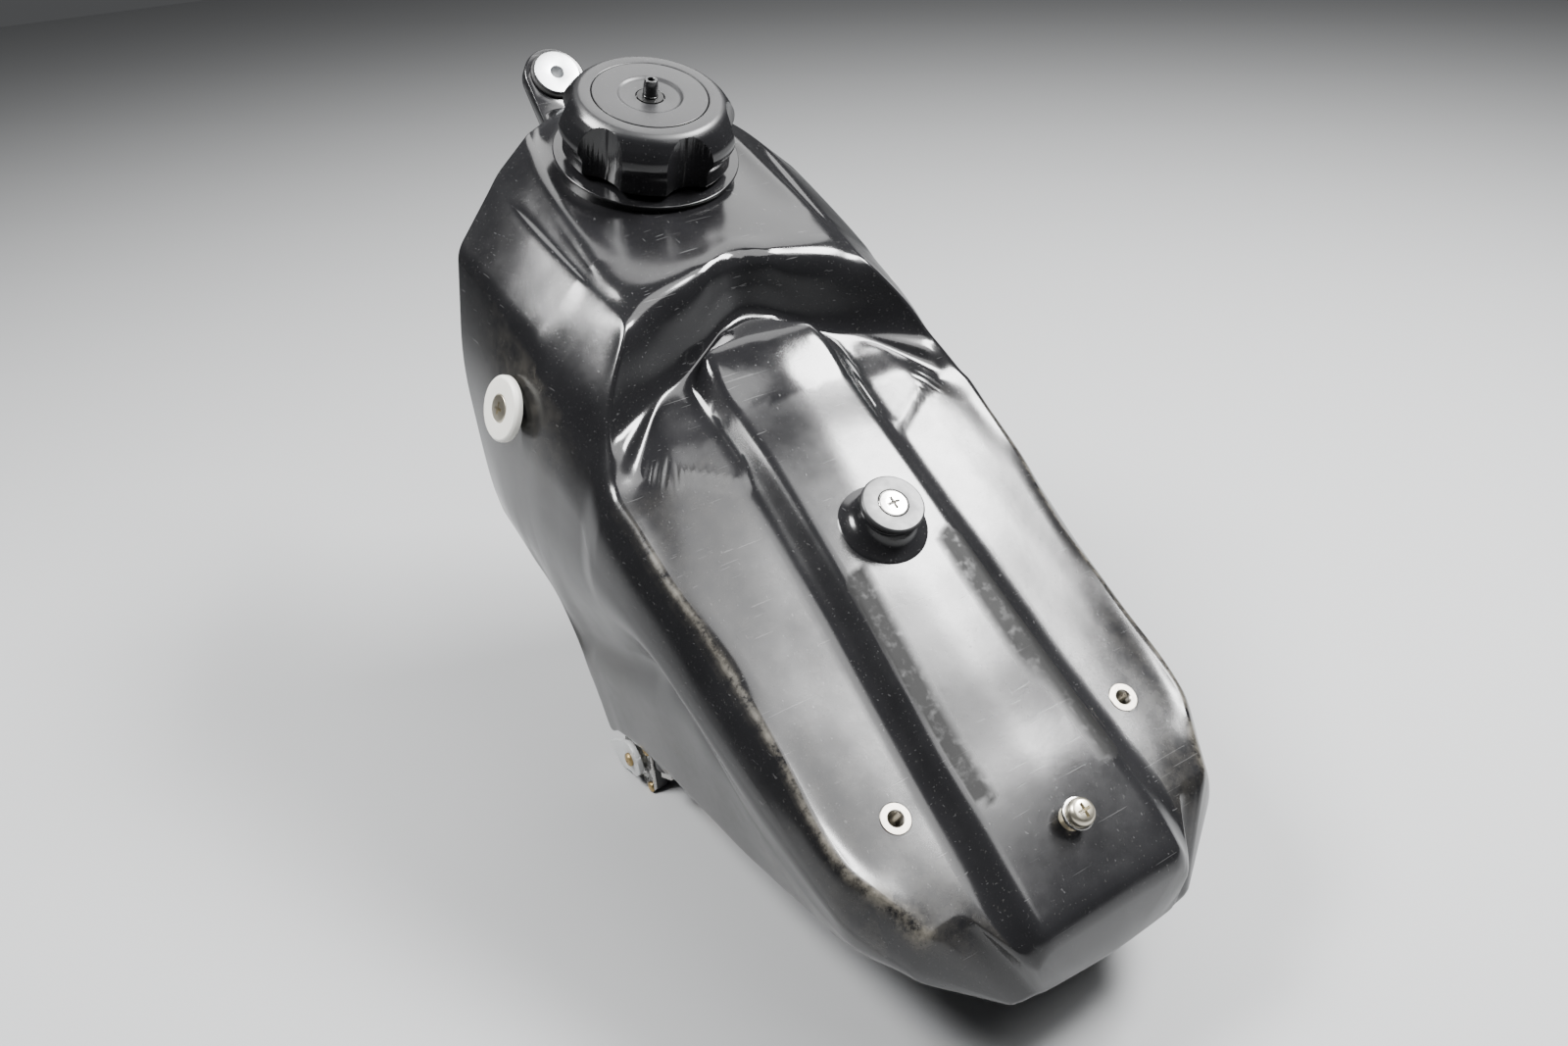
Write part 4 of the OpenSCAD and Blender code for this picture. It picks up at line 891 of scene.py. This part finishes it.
# Nodes shown as they are.
# Painted shade: the steel vent clip gets a near-black metal so the ring round the nipple reads as the dark
# hole it sits in.
M["painted_shade_clip"] = simple("painted_shade_clip", (0.05, 0.05, 0.05), 0.4, 1.0)
for name, slot in (("shroud_nuts", "zinc"), ("hook_nut", "zinc"), ("tail_nut", "zinc"),
                   ("cap_gasket", "rubber"),
                   ("vent_oring", "rubber"), ("vent_clip", "steel"), ("cock_nuts", "zinc"),
                   ("cock_oring", "rubber"),
                   ("cock_screws", "steel"), ("cock_washers", "steel"), ("cock_packing", "rubber"),
                   ("cock_rotor", "nylon"), ("cock_spring", "steel"), ("cock_standpipe", "brass"),
                   ("cock_strainer", "mesh")):
    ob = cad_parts[name]
    ob.data.materials.clear()
    # The vent clip takes the near-black painted-shade metal in place of steel.
    ob.data.materials.append(M["painted_shade_clip" if name == "vent_clip" else slot])

# ---------------------------------------------------------------- stage, lights and camera


def area_light(name, direction, distance, size, power, color=(1, 1, 1), aim=(0.0, -0.20, -0.12), size_y=None):
    data = bpy.data.lights.new(name, "AREA")
    data.energy, data.size, data.color = power, size, color
    if size_y:
        data.shape, data.size_y = "RECTANGLE", size_y
    ob = bpy.data.objects.new(name, data)
    bpy.context.scene.collection.objects.link(ob)
    d = Vector(direction).normalized()
    ob.location = Vector(aim) + d * distance
    ob.rotation_euler = d.to_track_quat("Z", "Y").to_euler()
    return ob


def backdrop():
    """Pale floor, level with the lowest point of the object."""
    low = size_before[0][2]
    k = 3.0
    ob = mesh_object("floor", [(-k, -k, low), (k, -k, low), (k, k, low), (-k, k, low)], [(0, 1, 2, 3)],
                     None, False)
    f = Nodes("floor")
    f.bsdf.inputs["Base Color"].default_value = (0.36, 0.364, 0.368, 1)
    f.bsdf.inputs["Roughness"].default_value = 0.7
    f.bsdf.inputs["Specular IOR Level"].default_value = 0.2
    ob.data.materials.append(f.mat)


backdrop()
area_light("key", (0.57, -0.20, 0.79), 1.1, 0.50, 46, size_y=0.28)
area_light("left_top", (-0.54, 0.25, 0.79), 1.2, 0.40, 34)
area_light("ceiling", (0.25, -0.38, 0.89), 1.5, 0.85, 15)
area_light("front_fill", (0.43, 0.50, 0.75), 1.3, 0.8, 9)

world = bpy.data.worlds.new("studio")
world.use_nodes = True
world.node_tree.nodes["Background"].inputs["Color"].default_value = (0.95, 0.97, 1.0, 1)
world.node_tree.nodes["Background"].inputs["Strength"].default_value = 0.08
bpy.context.scene.world = world

cam_data = bpy.data.cameras.new("camera")
cam_data.lens, cam_data.sensor_width = 28.125, 36
cam_data.clip_start, cam_data.clip_end = 0.01, 20
cam = bpy.data.objects.new("camera", cam_data)
bpy.context.scene.collection.objects.link(cam)
cam.matrix_world = Matrix(((0.84090588, 0.32332919, -0.43397642, -0.24105),
                           (-0.53823263, 0.41606458, -0.7329365, -0.59805),
                           (-0.05641755, 0.84991088, 0.52389747, 0.12159),
                           (0, 0, 0, 1)))
bpy.context.scene.camera = cam
